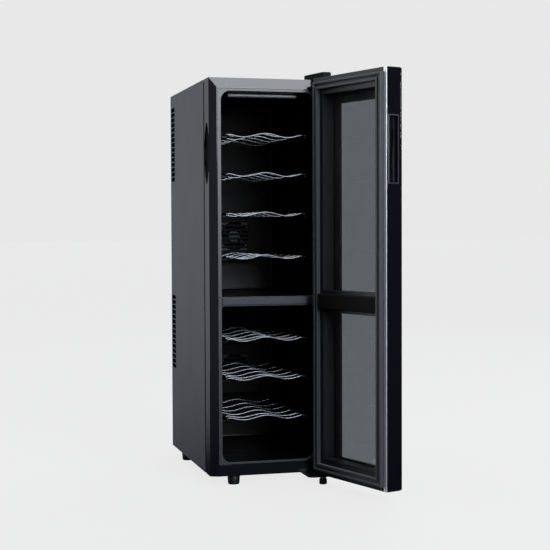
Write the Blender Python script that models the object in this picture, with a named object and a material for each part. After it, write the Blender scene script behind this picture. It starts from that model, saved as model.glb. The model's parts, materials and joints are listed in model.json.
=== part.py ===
"""Slim two-zone thermoelectric wine cooler, free-standing, with its glass door standing open.

Metres, +Z up.  The cabinet front faces -Y and the door is hung on its right-hand side.
Every piece is modelled in "cabinet" coordinates: x from the left side, y back from the front
face, z up from the floor.  Door pieces are modelled closed and hang from an empty on the hinge
line, which is turned to the open angle.  One root empty then puts the origin on the floor under
the middle of the whole standing object.
"""
import math

import bmesh
import bpy
from mathutils import Matrix, Vector

# ---------------------------------------------------------------- driving dimensions
CABINET_WIDTH = 0.280
CABINET_DEPTH = 0.480
CABINET_HEIGHT = 0.930          # body only, without feet
FOOT_HEIGHT = 0.022

GAP = 0.0003                    # clearance between pieces that touch
OVER = 0.01                     # how far a cutter runs past the piece it cuts
LAP = 0.001                     # how far shapes reach into each other before they are joined
SHEET = 0.0012                  # painted steel sheet
LINER_WALL = 0.002

FRAME_SIDE = 0.020              # width of the front moulding's face at the sides
FRAME_TOP = 0.0245              # and along the top
FRAME_DEPTH = 0.050
FRAME_TONGUE = 0.014            # tongue behind the moulding that the panels wrap
FRAME_TONGUE_INSET = 0.005
FRAME_SLOPE = 0.006             # how far the face falls back to its outer edge, top and sides
FRAME_FLAT = 0.0012             # flat rim left round the opening
PANEL_GROOVE = 0.011            # shadow gap between moulding and side panel
LINER_LIP_SIDE = 0.009          # width of the tubs' lip at the sides, top and bottom
LINER_LIP_TOP = 0.0065
LINER_LIP_BOTTOM = 0.005
LIP_CORNER = 0.002              # the lip's outer corners are nearly square
LINER_LIP_THICK = 0.003
LINER_SETBACK = 0.0004          # tubs start this far behind the front face
LINER_TIGHT_CORNER = 0.004      # radius where a tub meets the divider
BOTTOM_BAND = 0.027
LINER_CORNER = 0.022
CAVITY_DEPTH = 0.375

DIVIDER_BOTTOM = 0.400          # above the cabinet's underside
DIVIDER_HEIGHT = 0.018
DIVIDER_STRIP_DEPTH = 0.006

RECESS_CENTRE_Y = 0.026         # finger recess in the moulding's left side
RECESS_CENTRE_Z = 0.755
RECESS_SIZE = (0.020, 0.050, 0.144)

# shelves, heights of the wire crests above the cabinet's underside
UPPER_SHELVES = (0.517, 0.618, 0.711, 0.803)
LOWER_SHELVES = (0.137, 0.231, 0.323)
SHELF_WIDTH = 0.196
SHELF_FRONT = 0.016             # behind the front face
SHELF_LENGTH = 0.310
WIRE_RADIUS = 0.0020
RAIL_RADIUS = 0.0024
WAVE_DROP = 0.009               # depth of the bottle cradles
BOTTLE_PITCH = 0.107            # between the two bottles' centre lines
WIRE_EASE = 0.012               # end of each cross wire that runs level to its rail
# cross wires: place behind the shelf's front end, depth of the dips, straight pieces along the wave
SHELF_WIRES = ((0.004, WAVE_DROP, 18), (0.034, WAVE_DROP * 0.8, 18), (0.095, WAVE_DROP, 14),
               (0.160, WAVE_DROP, 14), (0.225, WAVE_DROP, 14), (SHELF_LENGTH - 0.004, WAVE_DROP, 14))
LEDGE_THICK = 0.006
LEDGE_LAP = 0.006               # how far a ledge reaches under the shelf
LEDGE_LEAD = 0.004              # how far a ledge runs out in front of the shelf

# insulation, cooling and rear compartment
FOAM_BACK = 0.396
MODULE_Z = {"upper": 0.560, "lower": 0.216}
FAN_COVER_SIZE = (0.130, 0.040, 0.126)
FAN_COVER_WALL = 0.002
FAN_COVER_CORNER = 0.010
FAN_SIZE = 0.080
FAN_THICK = 0.018
FAN_BORE = 0.0375
FAN_HUB = 0.016
FAN_BLADES = 7
FAN_SPIDER = 0.003              # depth of the arms that carry the hub
BLADE_SIZE = (0.0014, 0.014)    # thickness and chord
BLADE_TILT = math.radians(32)
GRILLE_SLOT = (0.070, 0.006)    # inner fan cover: slot length and height
GRILLE_PITCH = 0.011
GRILLE_SLOTS = 7
PELTIER_SIZE = (0.040, 0.004, 0.040)
COLD_BLOCK = (0.044, 0.044)
COLD_SINK_SIZE = (0.090, 0.014, 0.090)
HOT_SINK_SIZE = (0.110, 0.034, 0.110)
SINK_BASE = 0.005
SINK_FINS = 9
FIN_THICK = 0.002

# power board and its components: sideways and upward place, width, height, depth
BOARD_SIZE = (0.120, 0.080)
BOARD_THICK = 0.0016
BOARD_LIFT = 0.004              # board stands off the foam by this on two posts
BOARD_POST = 0.006
BOARD_Z = 0.390
BOARD_PARTS = ((-0.030, 0.010, 0.034, 0.040, 0.026), (0.016, 0.020, 0.018, 0.018, 0.022),
               (0.040, -0.012, 0.012, 0.028, 0.012), (0.010, -0.018, 0.026, 0.014, 0.016))
LAMP_LENGTH = 0.170
LAMP_FRONT = 0.045
LAMP_DEPTH = 0.022
LAMP_HEIGHT = 0.009
LAMP_WALL = 0.003
INLET_X = 0.060
INLET_Z = 0.070
INLET_SIZE = (0.028, 0.022)
INLET_DEPTH = 0.030
INLET_WELL = 0.018
INLET_WALL = 0.002
INLET_RIM = 0.004
INLET_PINS = (-0.007, 0.0, 0.007)

# side louvres
VENT_FRONT = 0.424
VENT_LENGTH = 0.048
VENT_SPANS = ((0.210, 0.405), (0.703, 0.898))
VENT_PITCH = 0.013
VENT_SLOT = 0.0105

# feet
FOOT_RADIUS_TOP = 0.0150
FOOT_RADIUS_BOTTOM = 0.0135
FRONT_FOOT = (0.059, 0.018)
REAR_FOOT = (0.018, 0.365)
LEVELLER_INSET = 0.019          # levelling foot in from the cabinet's right side
LEVELLER_Y = -0.042
LEVELLER_RADIUS = 0.009
LEVELLER_PAD = 0.013
STUD_RADIUS = 0.004
NUT_RADIUS = 0.0075
NUT_HEIGHT = 0.0035

# door, closed: its inner face is DOOR_GAP in front of the cabinet
DOOR_GAP = 0.0100
DOOR_THICK = 0.0440
DOOR_CLEAR = 0.0015             # shorter than the cabinet by this at each end
DOOR_RIM = 0.0107               # width of the outer frame's edges
DOOR_OPEN = math.radians(107.7)
HINGE_INSET = 0.013             # hinge line in from the door's side
HINGE_SETBACK = 0.0195          # hinge line behind the door's inner face
FLANGE = 0.0017
INNER_FRAME_DEPTH = 0.030
WINDOW_EDGE = 0.040             # inner frame's face width
PANE = 0.004
BORDER_SIDE = 0.063             # black border round the visible glass
BORDER_TOP = 0.0615
BORDER_BOTTOM = 0.044
PANE_EDGE = 0.025
MULLION_BOTTOM = 0.385
MULLION_TOP = 0.435
GASKET_EDGE = 0.010
GASKET_WIDTH = 0.018
GASKET_GROOVE = 0.004
GASKET_REST = 0.0005            # gap left to the cabinet when the door is shut
CONTROL_SIZE = (0.100, 0.034)
READOUT_SIZE = (0.022, 0.016)   # one number display for each zone
READOUT_X = 0.026
BAR_HEIGHT = 0.036              # sealing bar across the mullion
TRIM_WIDTH = 0.0103
POCKET_BOTTOM = 0.675
POCKET_TOP = 0.827
POCKET_INSET = 0.0048           # from the door's inner face to the pocket
POCKET_WIDTH = 0.0300
POCKET_WALL = 0.0015

# hinge hardware
PIN_RADIUS = 0.003
BUSH_RADIUS = 0.005
PIN_REACH = 0.0085
PLATE = 0.003
PLATE_LIFT = 0.0015
BRACKET_WIDTH = 0.054
BRACKET_BACK = 0.042
BRACKET_REACH = 0.052
COVER_HEIGHT = 0.0135
COVER_INSET_BACK = 0.0395       # cover's left side, in from the cabinet's right side
COVER_INSET_FRONT = 0.0200
COVER_BACK_Y = 0.046
COVER_FRONT_Y = -0.042
COVER_OVERHANG = 0.005          # past the cabinet's right side
BRACKET_MARGIN = 0.003          # top bracket lies inside the cover by this
PIN_HEAD = 1.7                  # head radius over pin radius
COVER_WALL = 0.002

# ---------------------------------------------------------------- derived places
W, D, H = CABINET_WIDTH, CABINET_DEPTH, CABINET_HEIGHT
FLOOR = FOOT_HEIGHT             # z of the cabinet's underside
MID_X = W / 2
CAVITY_LEFT = FRAME_SIDE + LINER_LIP_SIDE
CAVITY_RIGHT = W - CAVITY_LEFT
CAVITY_BOTTOM = FLOOR + BOTTOM_BAND + LINER_LIP_BOTTOM
CAVITY_TOP = FLOOR + H - FRAME_TOP - LINER_LIP_TOP
DIVIDER_LOW = FLOOR + DIVIDER_BOTTOM
DIVIDER_HIGH = DIVIDER_LOW + DIVIDER_HEIGHT
DIVIDER_MIDDLE = (DIVIDER_LOW + DIVIDER_HIGH) / 2
PANEL_FRONT = FRAME_DEPTH + PANEL_GROOVE
LEVELLER = (W - LEVELLER_INSET, LEVELLER_Y)
PIVOT = Vector((W - HINGE_INSET, -DOOR_GAP - HINGE_SETBACK, 0))
DOOR_INNER = -DOOR_GAP
DOOR_OUTER = -DOOR_GAP - DOOR_THICK
DOOR_BOTTOM = FLOOR + DOOR_CLEAR
DOOR_TOP = FLOOR + H - DOOR_CLEAR / 2
PLATE_TOP_Z = FLOOR + H + PLATE_LIFT / 2
PLATE_BOTTOM_Z = FLOOR - PLATE_LIFT
SINK_BACK = FOAM_BACK + 0.0045


# ---------------------------------------------------------------- scene and materials
for old in list(bpy.data.objects):
    bpy.data.objects.remove(old, do_unlink=True)


def empty(name, place, parent=None):
    marker = bpy.data.objects.new(name, None)
    marker.location = place
    marker.parent = parent
    bpy.context.collection.objects.link(marker)
    return marker


def material(name, colour, rough, metal=0.0):
    mat = bpy.data.materials.new(name)
    mat.use_nodes = True
    shader = mat.node_tree.nodes["Principled BSDF"]
    shader.inputs["Base Color"].default_value = (*colour, 1.0)
    shader.inputs["Roughness"].default_value = rough
    shader.inputs["Metallic"].default_value = metal
    mat.diffuse_color = (*colour, 1.0)
    return mat


PAINT = material("painted_steel", (0.05, 0.053, 0.065), 0.35, 0.3)
GLOSS = material("gloss_black_abs", (0.012, 0.013, 0.018), 0.12)
SATIN = material("satin_black_abs", (0.02, 0.02, 0.023), 0.45)
GRAPHITE = material("graphite_abs", (0.16, 0.16, 0.19), 0.35)
LINER = material("liner_polystyrene", (0.01, 0.01, 0.011), 0.35)
RUBBER = material("gasket_pvc", (0.05, 0.05, 0.05), 0.6)
CHROME = material("chromed_wire", (0.75, 0.75, 0.76), 0.15, 1.0)
ALUMINIUM = material("aluminium", (0.8, 0.8, 0.82), 0.3, 1.0)
STEEL = material("zinc_steel", (0.55, 0.55, 0.56), 0.35, 1.0)
GLASS = material("smoked_glass", (0.08, 0.08, 0.085), 0.05)
FOAM = material("polyurethane_foam", (0.75, 0.65, 0.4), 0.9)
CERAMIC = material("ceramic", (0.85, 0.85, 0.82), 0.5)
BOARD = material("circuit_board", (0.02, 0.14, 0.06), 0.5)
DIFFUSER = material("lamp_diffuser", (0.8, 0.82, 0.85), 0.4)

ROOT = empty("cooler_root", (0, 0, 0))
DOOR = empty("door_pivot", PIVOT, ROOT)
DOOR.rotation_euler = (0, 0, DOOR_OPEN)


# ---------------------------------------------------------------- modelling helpers
def solid(bm):
    """A loose mesh object from a bmesh, with its faces pointing out."""
    bmesh.ops.recalc_face_normals(bm, faces=bm.faces)
    mesh = bpy.data.meshes.new("shape")
    bm.to_mesh(mesh)
    bm.free()
    obj = bpy.data.objects.new("shape", mesh)
    bpy.context.collection.objects.link(obj)
    return obj


def box(low, high, bevel=0.0, segments=1):
    bm = bmesh.new()
    size = [b - a for a, b in zip(low, high)]
    middle = [(a + b) / 2 for a, b in zip(low, high)]
    bmesh.ops.create_cube(bm, size=1, matrix=Matrix.Translation(middle) @ Matrix.Diagonal((*size, 1)))
    if bevel:
        bmesh.ops.bevel(bm, geom=bm.edges[:], offset=bevel, segments=segments, affect="EDGES")
    return solid(bm)


def prism(outline, axis, start, end):
    """A closed outline pushed along an axis: X takes (y, z), Y takes (x, z), Z takes (x, y)."""
    def at(point, level):
        a, b = point
        return {"X": (level, a, b), "Y": (a, level, b), "Z": (a, b, level)}[axis]

    return loft([[at(point, level) for point in outline] for level in (start, end)])


def loft(rings):
    """A closed skin over rings of points, which all have the same number, with flat ends."""
    bm = bmesh.new()
    rows = [[bm.verts.new(point) for point in ring] for ring in rings]
    count = len(rows[0])
    for first, second in zip(rows, rows[1:]):
        for k in range(count):
            n = (k + 1) % count
            bm.faces.new((first[k], first[n], second[n], second[k]))
    bm.faces.new(rows[0])
    bm.faces.new(rows[-1])
    return solid(bm)


def rounded(low, high, radii, steps=4):
    """Rectangle outline with a radius for each corner: low-left, low-right, high-right, high-left."""
    corners = ((low[0], low[1], 180), (high[0], low[1], 270), (high[0], high[1], 0), (low[0], high[1], 90))
    points = []
    for (x, y, start), radius in zip(corners, radii):
        if not radius:
            points.append((x, y))
            continue
        cx = x + radius if x == low[0] else x - radius
        cy = y + radius if y == low[1] else y - radius
        for i in range(steps + 1):
            turn = math.radians(start + 90 * i / steps)
            points.append((cx + radius * math.cos(turn), cy + radius * math.sin(turn)))
    return points


def ring_points(centre, radius, sides, phase=0.0):
    return [(centre[0] + radius * math.cos(phase + math.tau * i / sides),
             centre[1] + radius * math.sin(phase + math.tau * i / sides)) for i in range(sides)]


def cylinder(axis, centre, radius, start, end, sides=24):
    return prism(ring_points(centre, radius, sides), axis, start, end)


def tube(path, radius, sides=6):
    """A wire of round section through the points of a path, with flat ends."""
    rings = []
    for i, here in enumerate(path):
        before = Vector(path[max(i - 1, 0)])
        after = Vector(path[min(i + 1, len(path) - 1)])
        along = (after - before).normalized()
        side = along.cross(Vector((0, 0, 1))).normalized()
        up = side.cross(along)
        turns = [math.tau * k / sides for k in range(sides)]
        rings.append([Vector(here) + radius * (side * math.cos(a) + up * math.sin(a)) for a in turns])
    return loft(rings)


def ellipsoid(centre, size, columns=16, rows=10):
    bm = bmesh.new()
    place = Matrix.Translation(centre) @ Matrix.Diagonal((*[s / 2 for s in size], 1))
    bmesh.ops.create_uvsphere(bm, u_segments=columns, v_segments=rows, radius=1, matrix=place)
    return solid(bm)


def combine(target, others, operation):
    """Exact Boolean of the target with each other shape, which is used up."""
    for other in others:
        step = target.modifiers.new("combine", "BOOLEAN")
        step.operation = operation
        step.object = other
        step.solver = "EXACT"
        evaluated = target.evaluated_get(bpy.context.evaluated_depsgraph_get())
        result = bpy.data.meshes.new_from_object(evaluated)
        target.modifiers.clear()
        target.data = result
        bpy.data.objects.remove(other, do_unlink=True)
    return target


def cut(target, *others):
    return combine(target, others, "DIFFERENCE")


def join(target, *others):
    return combine(target, others, "UNION")


def node(name, shape, mat, place=(0, 0, 0), parent=ROOT, smooth=False):
    """Name a finished shape and hang it from its parent, with its origin at the given place."""
    shape.name = name
    shape.data.name = name
    shape.data.transform(Matrix.Translation(-Vector(place)))
    shape.data.materials.clear()
    shape.data.materials.append(mat)
    shape.parent = parent
    shape.location = Vector(place) - (PIVOT if parent is DOOR else Vector())
    if smooth:
        shape.data.shade_smooth()
        shape.data.set_sharp_from_angle(angle=math.radians(35))
    return shape


# ---------------------------------------------------------------- casing
def front_frame():
    top = FLOOR + H
    side, over = FRAME_SIDE - FRAME_FLAT, FRAME_TOP - FRAME_FLAT
    rim = ((side, FLOOR), (W - side, FLOOR), (W - side, top - over), (side, top - over))
    outer = ((0, FLOOR), (W, FLOOR), (W, top), (0, top))
    levels = ((rim, 0), (outer, FRAME_SLOPE), (outer, FRAME_DEPTH))
    shape = loft([[(x, y, z) for x, z in outline] for outline, y in levels])
    inset = FRAME_TONGUE_INSET
    tongue = box((inset, FRAME_DEPTH - LAP, FLOOR + inset),
                 (W - inset, FRAME_DEPTH + FRAME_TONGUE, top - inset))
    hole_low = (FRAME_SIDE, FLOOR + BOTTOM_BAND)
    hole_high = (W - FRAME_SIDE, top - FRAME_TOP)
    outline = rounded(hole_low, hole_high, (LIP_CORNER,) * 4)
    hole = prism(outline, "Y", -OVER, FRAME_DEPTH + FRAME_TONGUE + OVER)
    recess = ellipsoid((0, RECESS_CENTRE_Y, FLOOR + RECESS_CENTRE_Z), RECESS_SIZE)
    shape = cut(join(shape, tongue), hole, recess)
    return node("front_frame", shape, GLOSS)


def slots(length_axis_low, length_axis_high, span, across_low, across_high, axis):
    """Stack of horizontal slot cutters over a height span, cutting along X or Y."""
    cutters = []
    count = round((span[1] - span[0]) / VENT_PITCH)
    for i in range(count):
        z = FLOOR + span[0] + (i + 0.5) * VENT_PITCH
        low, high = z - VENT_SLOT / 2, z + VENT_SLOT / 2
        if axis == "X":
            cutters.append(box((across_low, length_axis_low, low), (across_high, length_axis_high, high)))
        else:
            cutters.append(box((length_axis_low, across_low, low), (length_axis_high, across_high, high)))
    return cutters


def side_panel(name, outer_x, sign):
    """Painted side sheet, hemmed inwards at the front, with louvre slots at the rear.

    The sign points into the cabinet.
    """
    inner_x = outer_x + sign * SHEET
    low_x, high_x = min(outer_x, inner_x), max(outer_x, inner_x)
    shape = box((low_x, PANEL_FRONT, FLOOR), (high_x, D, FLOOR + H))
    hem_x = outer_x + sign * (FRAME_TONGUE_INSET - GAP)
    hem = box((min(outer_x, hem_x), PANEL_FRONT, FLOOR + FRAME_TONGUE_INSET),
              (max(outer_x, hem_x), PANEL_FRONT + SHEET, FLOOR + H - FRAME_TONGUE_INSET))
    shape = join(shape, hem)
    for span in VENT_SPANS:
        shape = cut(shape, *slots(VENT_FRONT, VENT_FRONT + VENT_LENGTH, span,
                                  low_x - OVER, high_x + OVER, "X"))
    return node(name, shape, PAINT)


def flat_panels():
    inner = SHEET + GAP
    top = FLOOR + H
    rear = D - SHEET - GAP
    hem = FRAME_TONGUE_INSET - GAP
    hem_back = PANEL_FRONT + SHEET
    sheet = box((inner, PANEL_FRONT, top - SHEET), (W - inner, D, top))
    lip = box((inner, PANEL_FRONT, top - hem), (W - inner, hem_back, top))
    node("top_panel", join(sheet, lip), PAINT)
    sheet = box((inner, PANEL_FRONT, FLOOR), (W - inner, D, FLOOR + SHEET))
    lip = box((inner, PANEL_FRONT, FLOOR), (W - inner, hem_back, FLOOR + hem))
    node("base_panel", join(sheet, lip), PAINT)
    sheet = box((inner, rear, FLOOR + inner), (W - inner, D - GAP, top - inner))
    for zone in ("upper", "lower"):
        centre = MODULE_Z[zone]
        span = (centre - FAN_SIZE / 2, centre + FAN_SIZE / 2)
        sheet = cut(sheet, *slots(MID_X - FAN_SIZE / 2, MID_X + FAN_SIZE / 2, span, rear - OVER,
                                  D + OVER, "Y"))
    low = FLOOR + INLET_Z - INLET_SIZE[1] / 2
    high = FLOOR + INLET_Z + INLET_SIZE[1] / 2
    sheet = cut(sheet, box((INLET_X - INLET_SIZE[0] / 2, rear - OVER, low),
                           (INLET_X + INLET_SIZE[0] / 2, D + OVER, high)))
    node("rear_cover", sheet, PAINT)


def power_inlet():
    """Panel-mount mains inlet: flange, body, and three pins in an open well."""
    half_w, half_h = INLET_SIZE[0] / 2 - GAP, INLET_SIZE[1] / 2 - GAP
    z = FLOOR + INLET_Z
    body = box((INLET_X - half_w, D - INLET_DEPTH, z - half_h), (INLET_X + half_w, D + GAP, z + half_h))
    flange = box((INLET_X - half_w - INLET_RIM, D, z - half_h - INLET_RIM),
                 (INLET_X + half_w + INLET_RIM, D + INLET_WALL, z + half_h + INLET_RIM), 0.0008)
    well_w, well_h = half_w - INLET_WALL, half_h - INLET_WALL
    well = box((INLET_X - well_w, D - INLET_WELL, z - well_h), (INLET_X + well_w, D + OVER, z + well_h))
    shape = cut(join(body, flange), well)
    for dx in INLET_PINS:
        x = INLET_X + dx
        pin = box((x - 0.001, D - INLET_WELL - LAP, z - 0.003), (x + 0.001, D - INLET_RIM, z + 0.003))
        shape = join(shape, pin)
    node("power_inlet", shape, SATIN)


# ---------------------------------------------------------------- cavities
def zone_heights(zone):
    """Inner floor and ceiling of a zone's liner."""
    if zone == "upper":
        return DIVIDER_HIGH + LINER_WALL, CAVITY_TOP
    return CAVITY_BOTTOM, DIVIDER_LOW - LINER_WALL


def zone_radii(zone, extra=0.0):
    big, small = LINER_CORNER + extra, LINER_TIGHT_CORNER + extra
    return (small, small, big, big) if zone == "upper" else (big, big, small, small)


def shelf_heights(zone):
    return [FLOOR + z for z in (UPPER_SHELVES if zone == "upper" else LOWER_SHELVES)]


def rail_height(crest):
    """Centre of the side rails, midway up the waves."""
    return crest - WAVE_DROP / 2


def liner(zone):
    """Vacuum-formed tub, open in front, with a lip in the moulding and ledges for the shelves."""
    floor, ceiling = zone_heights(zone)
    wall = LINER_WALL
    low, high = (CAVITY_LEFT, floor), (CAVITY_RIGHT, ceiling)
    outer = prism(rounded((low[0] - wall, low[1] - wall), (high[0] + wall, high[1] + wall),
                          zone_radii(zone, wall)), "Y", LINER_SETBACK, CAVITY_DEPTH + wall)
    side = LINER_LIP_SIDE - GAP
    lip_low, lip_high = low[1] - wall, high[1] + LINER_LIP_TOP - GAP
    if zone == "lower":
        lip_low, lip_high = low[1] - LINER_LIP_BOTTOM + GAP, high[1] + wall
    flange = prism(rounded((low[0] - side, lip_low), (high[0] + side, lip_high), (LIP_CORNER - GAP,) * 4),
                   "Y", LINER_SETBACK, LINER_LIP_THICK)
    tab_low, tab_high = DIVIDER_MIDDLE + GAP / 2, floor + LAP
    if zone == "lower":
        tab_low, tab_high = ceiling - LAP, DIVIDER_MIDDLE - GAP / 2
    for x_low, x_high in ((low[0] - side, low[0]), (high[0], high[0] + side)):
        flange = join(flange, box((x_low, LINER_SETBACK, tab_low), (x_high, LINER_LIP_THICK, tab_high)))
    inner = prism(rounded(low, high, zone_radii(zone)), "Y", -OVER, CAVITY_DEPTH)
    shape = cut(join(outer, flange), inner)
    reach = MID_X - SHELF_WIDTH / 2 + LEDGE_LAP
    for crest in shelf_heights(zone):
        top = rail_height(crest) - RAIL_RADIUS - GAP
        for x_low, x_high in ((CAVITY_LEFT - LAP, reach), (W - reach, CAVITY_RIGHT + LAP)):
            ledge = box((x_low, SHELF_FRONT - LEDGE_LEAD, top - LEDGE_THICK),
                        (x_high, CAVITY_DEPTH + LAP, top))
            shape = join(shape, ledge)
    block_w, block_h = COLD_BLOCK
    z = FLOOR + MODULE_Z[zone]
    port = box((MID_X - block_w / 2 - GAP, CAVITY_DEPTH - OVER, z - block_h / 2 - GAP),
               (MID_X + block_w / 2 + GAP, CAVITY_DEPTH + OVER, z + block_h / 2 + GAP))
    node(f"{zone}_liner", cut(shape, port), LINER)


def foam_body():
    """Insulation that fills the space between the sheets and the two tubs."""
    edge = SHEET + GAP
    shape = box((edge, FRAME_DEPTH + FRAME_TONGUE + GAP, FLOOR + edge),
                (W - edge, FOAM_BACK, FLOOR + H - edge))
    for zone in ("upper", "lower"):
        floor, ceiling = zone_heights(zone)
        grow = LINER_WALL + GAP
        hole = prism(rounded((CAVITY_LEFT - grow, floor - grow), (CAVITY_RIGHT + grow, ceiling + grow),
                             zone_radii(zone, grow)), "Y", 0, CAVITY_DEPTH + grow)
        block_w, block_h = COLD_BLOCK
        z = FLOOR + MODULE_Z[zone]
        port = box((MID_X - block_w / 2 - GAP, CAVITY_DEPTH, z - block_h / 2 - GAP),
                   (MID_X + block_w / 2 + GAP, FOAM_BACK + OVER, z + block_h / 2 + GAP))
        shape = cut(shape, hole, port)
    node("foam_insulation", shape, FOAM)


def divider_strip():
    low = DIVIDER_LOW + GAP
    high = DIVIDER_HIGH - GAP
    shape = box((CAVITY_LEFT + GAP, 0, low),
                (CAVITY_RIGHT - GAP, DIVIDER_STRIP_DEPTH, high), 0.0012)
    node("divider_strip", shape, GRAPHITE)


# ---------------------------------------------------------------- shelves
def wave(x, crest, drop):
    """Height of a cross wire at x from the shelf's middle: a crest there and a dip for each bottle."""
    height = crest - drop / 2 * (1 - math.cos(math.tau * x / BOTTLE_PITCH))
    share = min(1.0, (SHELF_WIDTH / 2 - RAIL_RADIUS - abs(x)) / WIRE_EASE)
    return rail_height(crest) + (height - rail_height(crest)) * share


def shelf(name, crest):
    """Chromed wire shelf: two side rails and wavy cross wires that cradle the bottles."""
    half = SHELF_WIDTH / 2 - RAIL_RADIUS
    rail_z = rail_height(crest)
    back = SHELF_FRONT + SHELF_LENGTH
    rails = []
    for sign in (-1, 1):
        x = MID_X + sign * half
        rails.append(tube([(x, SHELF_FRONT, rail_z), (x, back, rail_z)], RAIL_RADIUS))
    wires = []
    for y, drop, steps in SHELF_WIRES:
        points = []
        for i in range(steps + 1):
            x = -half + 2 * half * i / steps
            points.append((MID_X + x, SHELF_FRONT + y, wave(x, crest, drop)))
        wires.append(tube(points, WIRE_RADIUS))
    shape = join(rails[0], *wires, rails[1])
    node(name, shape, CHROME, (MID_X, SHELF_FRONT, crest), smooth=True)


# ---------------------------------------------------------------- cooling modules
def finned(low, high, fins_towards, base=SINK_BASE):
    """Extruded sink: base plate with upright fins towards -Y or +Y."""
    x_low, y_low, z_low = low
    x_high, y_high, z_high = high
    if fins_towards < 0:
        plate = box((x_low, y_high - base, z_low), (x_high, y_high, z_high))
        fin_y = (y_low, y_high - base + 0.0005)
    else:
        plate = box((x_low, y_low, z_low), (x_high, y_low + base, z_high))
        fin_y = (y_low + base - 0.0005, y_high)
    pitch = (x_high - x_low - FIN_THICK) / (SINK_FINS - 1)
    fins = []
    for i in range(SINK_FINS):
        x = x_low + i * pitch
        fins.append(box((x, fin_y[0], z_low + GAP), (x + FIN_THICK, fin_y[1], z_high - GAP)))
    return join(plate, *fins)


def cooling_module(zone):
    z = FLOOR + MODULE_Z[zone]
    width, depth, height = COLD_SINK_SIZE
    back = CAVITY_DEPTH - GAP
    sink = finned((MID_X - width / 2, back - depth, z - height / 2),
                  (MID_X + width / 2, back, z + height / 2), -1)
    block_end = FOAM_BACK - 0.001
    block = box((MID_X - COLD_BLOCK[0] / 2, back - LAP, z - COLD_BLOCK[1] / 2),
                (MID_X + COLD_BLOCK[0] / 2, block_end, z + COLD_BLOCK[1] / 2))
    node(f"{zone}_cold_sink", join(sink, block), ALUMINIUM)

    width, depth, height = PELTIER_SIZE
    start = block_end + GAP
    node(f"{zone}_peltier_module", box((MID_X - width / 2, start, z - height / 2),
                                       (MID_X + width / 2, start + depth, z + height / 2)), CERAMIC)

    width, depth, height = HOT_SINK_SIZE
    start = start + PELTIER_SIZE[1] + GAP
    sink = finned((MID_X - width / 2, start, z - height / 2),
                  (MID_X + width / 2, start + depth, z + height / 2), 1)
    node(f"{zone}_hot_sink", sink, ALUMINIUM)
    outer_fan = start + depth + GAP
    fan(f"{zone}_outer_fan", z, outer_fan, 1)

    width, depth, height = FAN_COVER_SIZE
    cover_front = back - depth
    inner_fan = back - COLD_SINK_SIZE[1] - GAP - FAN_THICK
    fan(f"{zone}_inner_fan", z, inner_fan, -1)
    wall = FAN_COVER_WALL
    low, high = (MID_X - width / 2, z - height / 2), (MID_X + width / 2, z + height / 2)
    cover = prism(rounded(low, high, (FAN_COVER_CORNER,) * 4, 3), "Y", cover_front, back)
    low, high = (low[0] + wall, low[1] + wall), (high[0] - wall, high[1] - wall)
    hollow = prism(rounded(low, high, (FAN_COVER_CORNER - wall,) * 4, 3),
                   "Y", cover_front + wall, back + OVER)
    cover = cut(cover, hollow)
    half_w, half_h = GRILLE_SLOT[0] / 2, GRILLE_SLOT[1] / 2
    for i in range(GRILLE_SLOTS):
        level = z + (i - (GRILLE_SLOTS - 1) / 2) * GRILLE_PITCH
        cover = cut(cover, box((MID_X - half_w, cover_front - OVER, level - half_h),
                               (MID_X + half_w, cover_front + OVER, level + half_h)))
    node(f"{zone}_fan_cover", cover, SATIN)


def fan(name, z, front, facing):
    """Square fan: housing with a three-armed spider, and a bladed rotor that turns about Y."""
    half = FAN_SIZE / 2
    back = front + FAN_THICK
    housing = box((MID_X - half, front, z - half), (MID_X + half, back, z + half))
    housing = cut(housing, cylinder("Y", (MID_X, z), FAN_BORE, front - OVER, back + OVER, 24))
    arm_low, arm_high = (back - FAN_SPIDER, back) if facing < 0 else (front, front + FAN_SPIDER)
    hub = cylinder("Y", (MID_X, z), FAN_HUB, arm_low, arm_high, 16)
    for i in range(3):
        turn = math.tau * i / 3 + math.radians(30)
        arm = box((0.010, arm_low + 0.0002, -0.002), (FAN_BORE + 0.002, arm_high - 0.0002, 0.002))
        arm.data.transform(Matrix.Translation((MID_X, 0, z)) @ Matrix.Rotation(turn, 4, "Y"))
        hub = join(hub, arm)
    node(f"{name}_housing", join(housing, hub), SATIN)

    if facing < 0:
        low, high = front + 0.001, arm_low - 0.0006
    else:
        low, high = arm_high + 0.0006, back - 0.001
    rotor = cylinder("Y", (MID_X, z), FAN_HUB - 0.0005, low, high, 16)
    middle = (low + high) / 2
    half_t, half_c = BLADE_SIZE[0] / 2, BLADE_SIZE[1] / 2
    for i in range(FAN_BLADES):
        blade = box((FAN_HUB - 0.004, -half_t, -half_c), (FAN_BORE - 0.0015, half_t, half_c))
        tilt = Matrix.Rotation(BLADE_TILT, 4, "X")
        spin = Matrix.Rotation(math.tau * i / FAN_BLADES, 4, "Y")
        blade.data.transform(Matrix.Translation((MID_X, middle, z)) @ spin @ tilt)
        rotor = join(rotor, blade)
    node(f"{name}_rotor", rotor, SATIN, (MID_X, middle, z), smooth=True)


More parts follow.
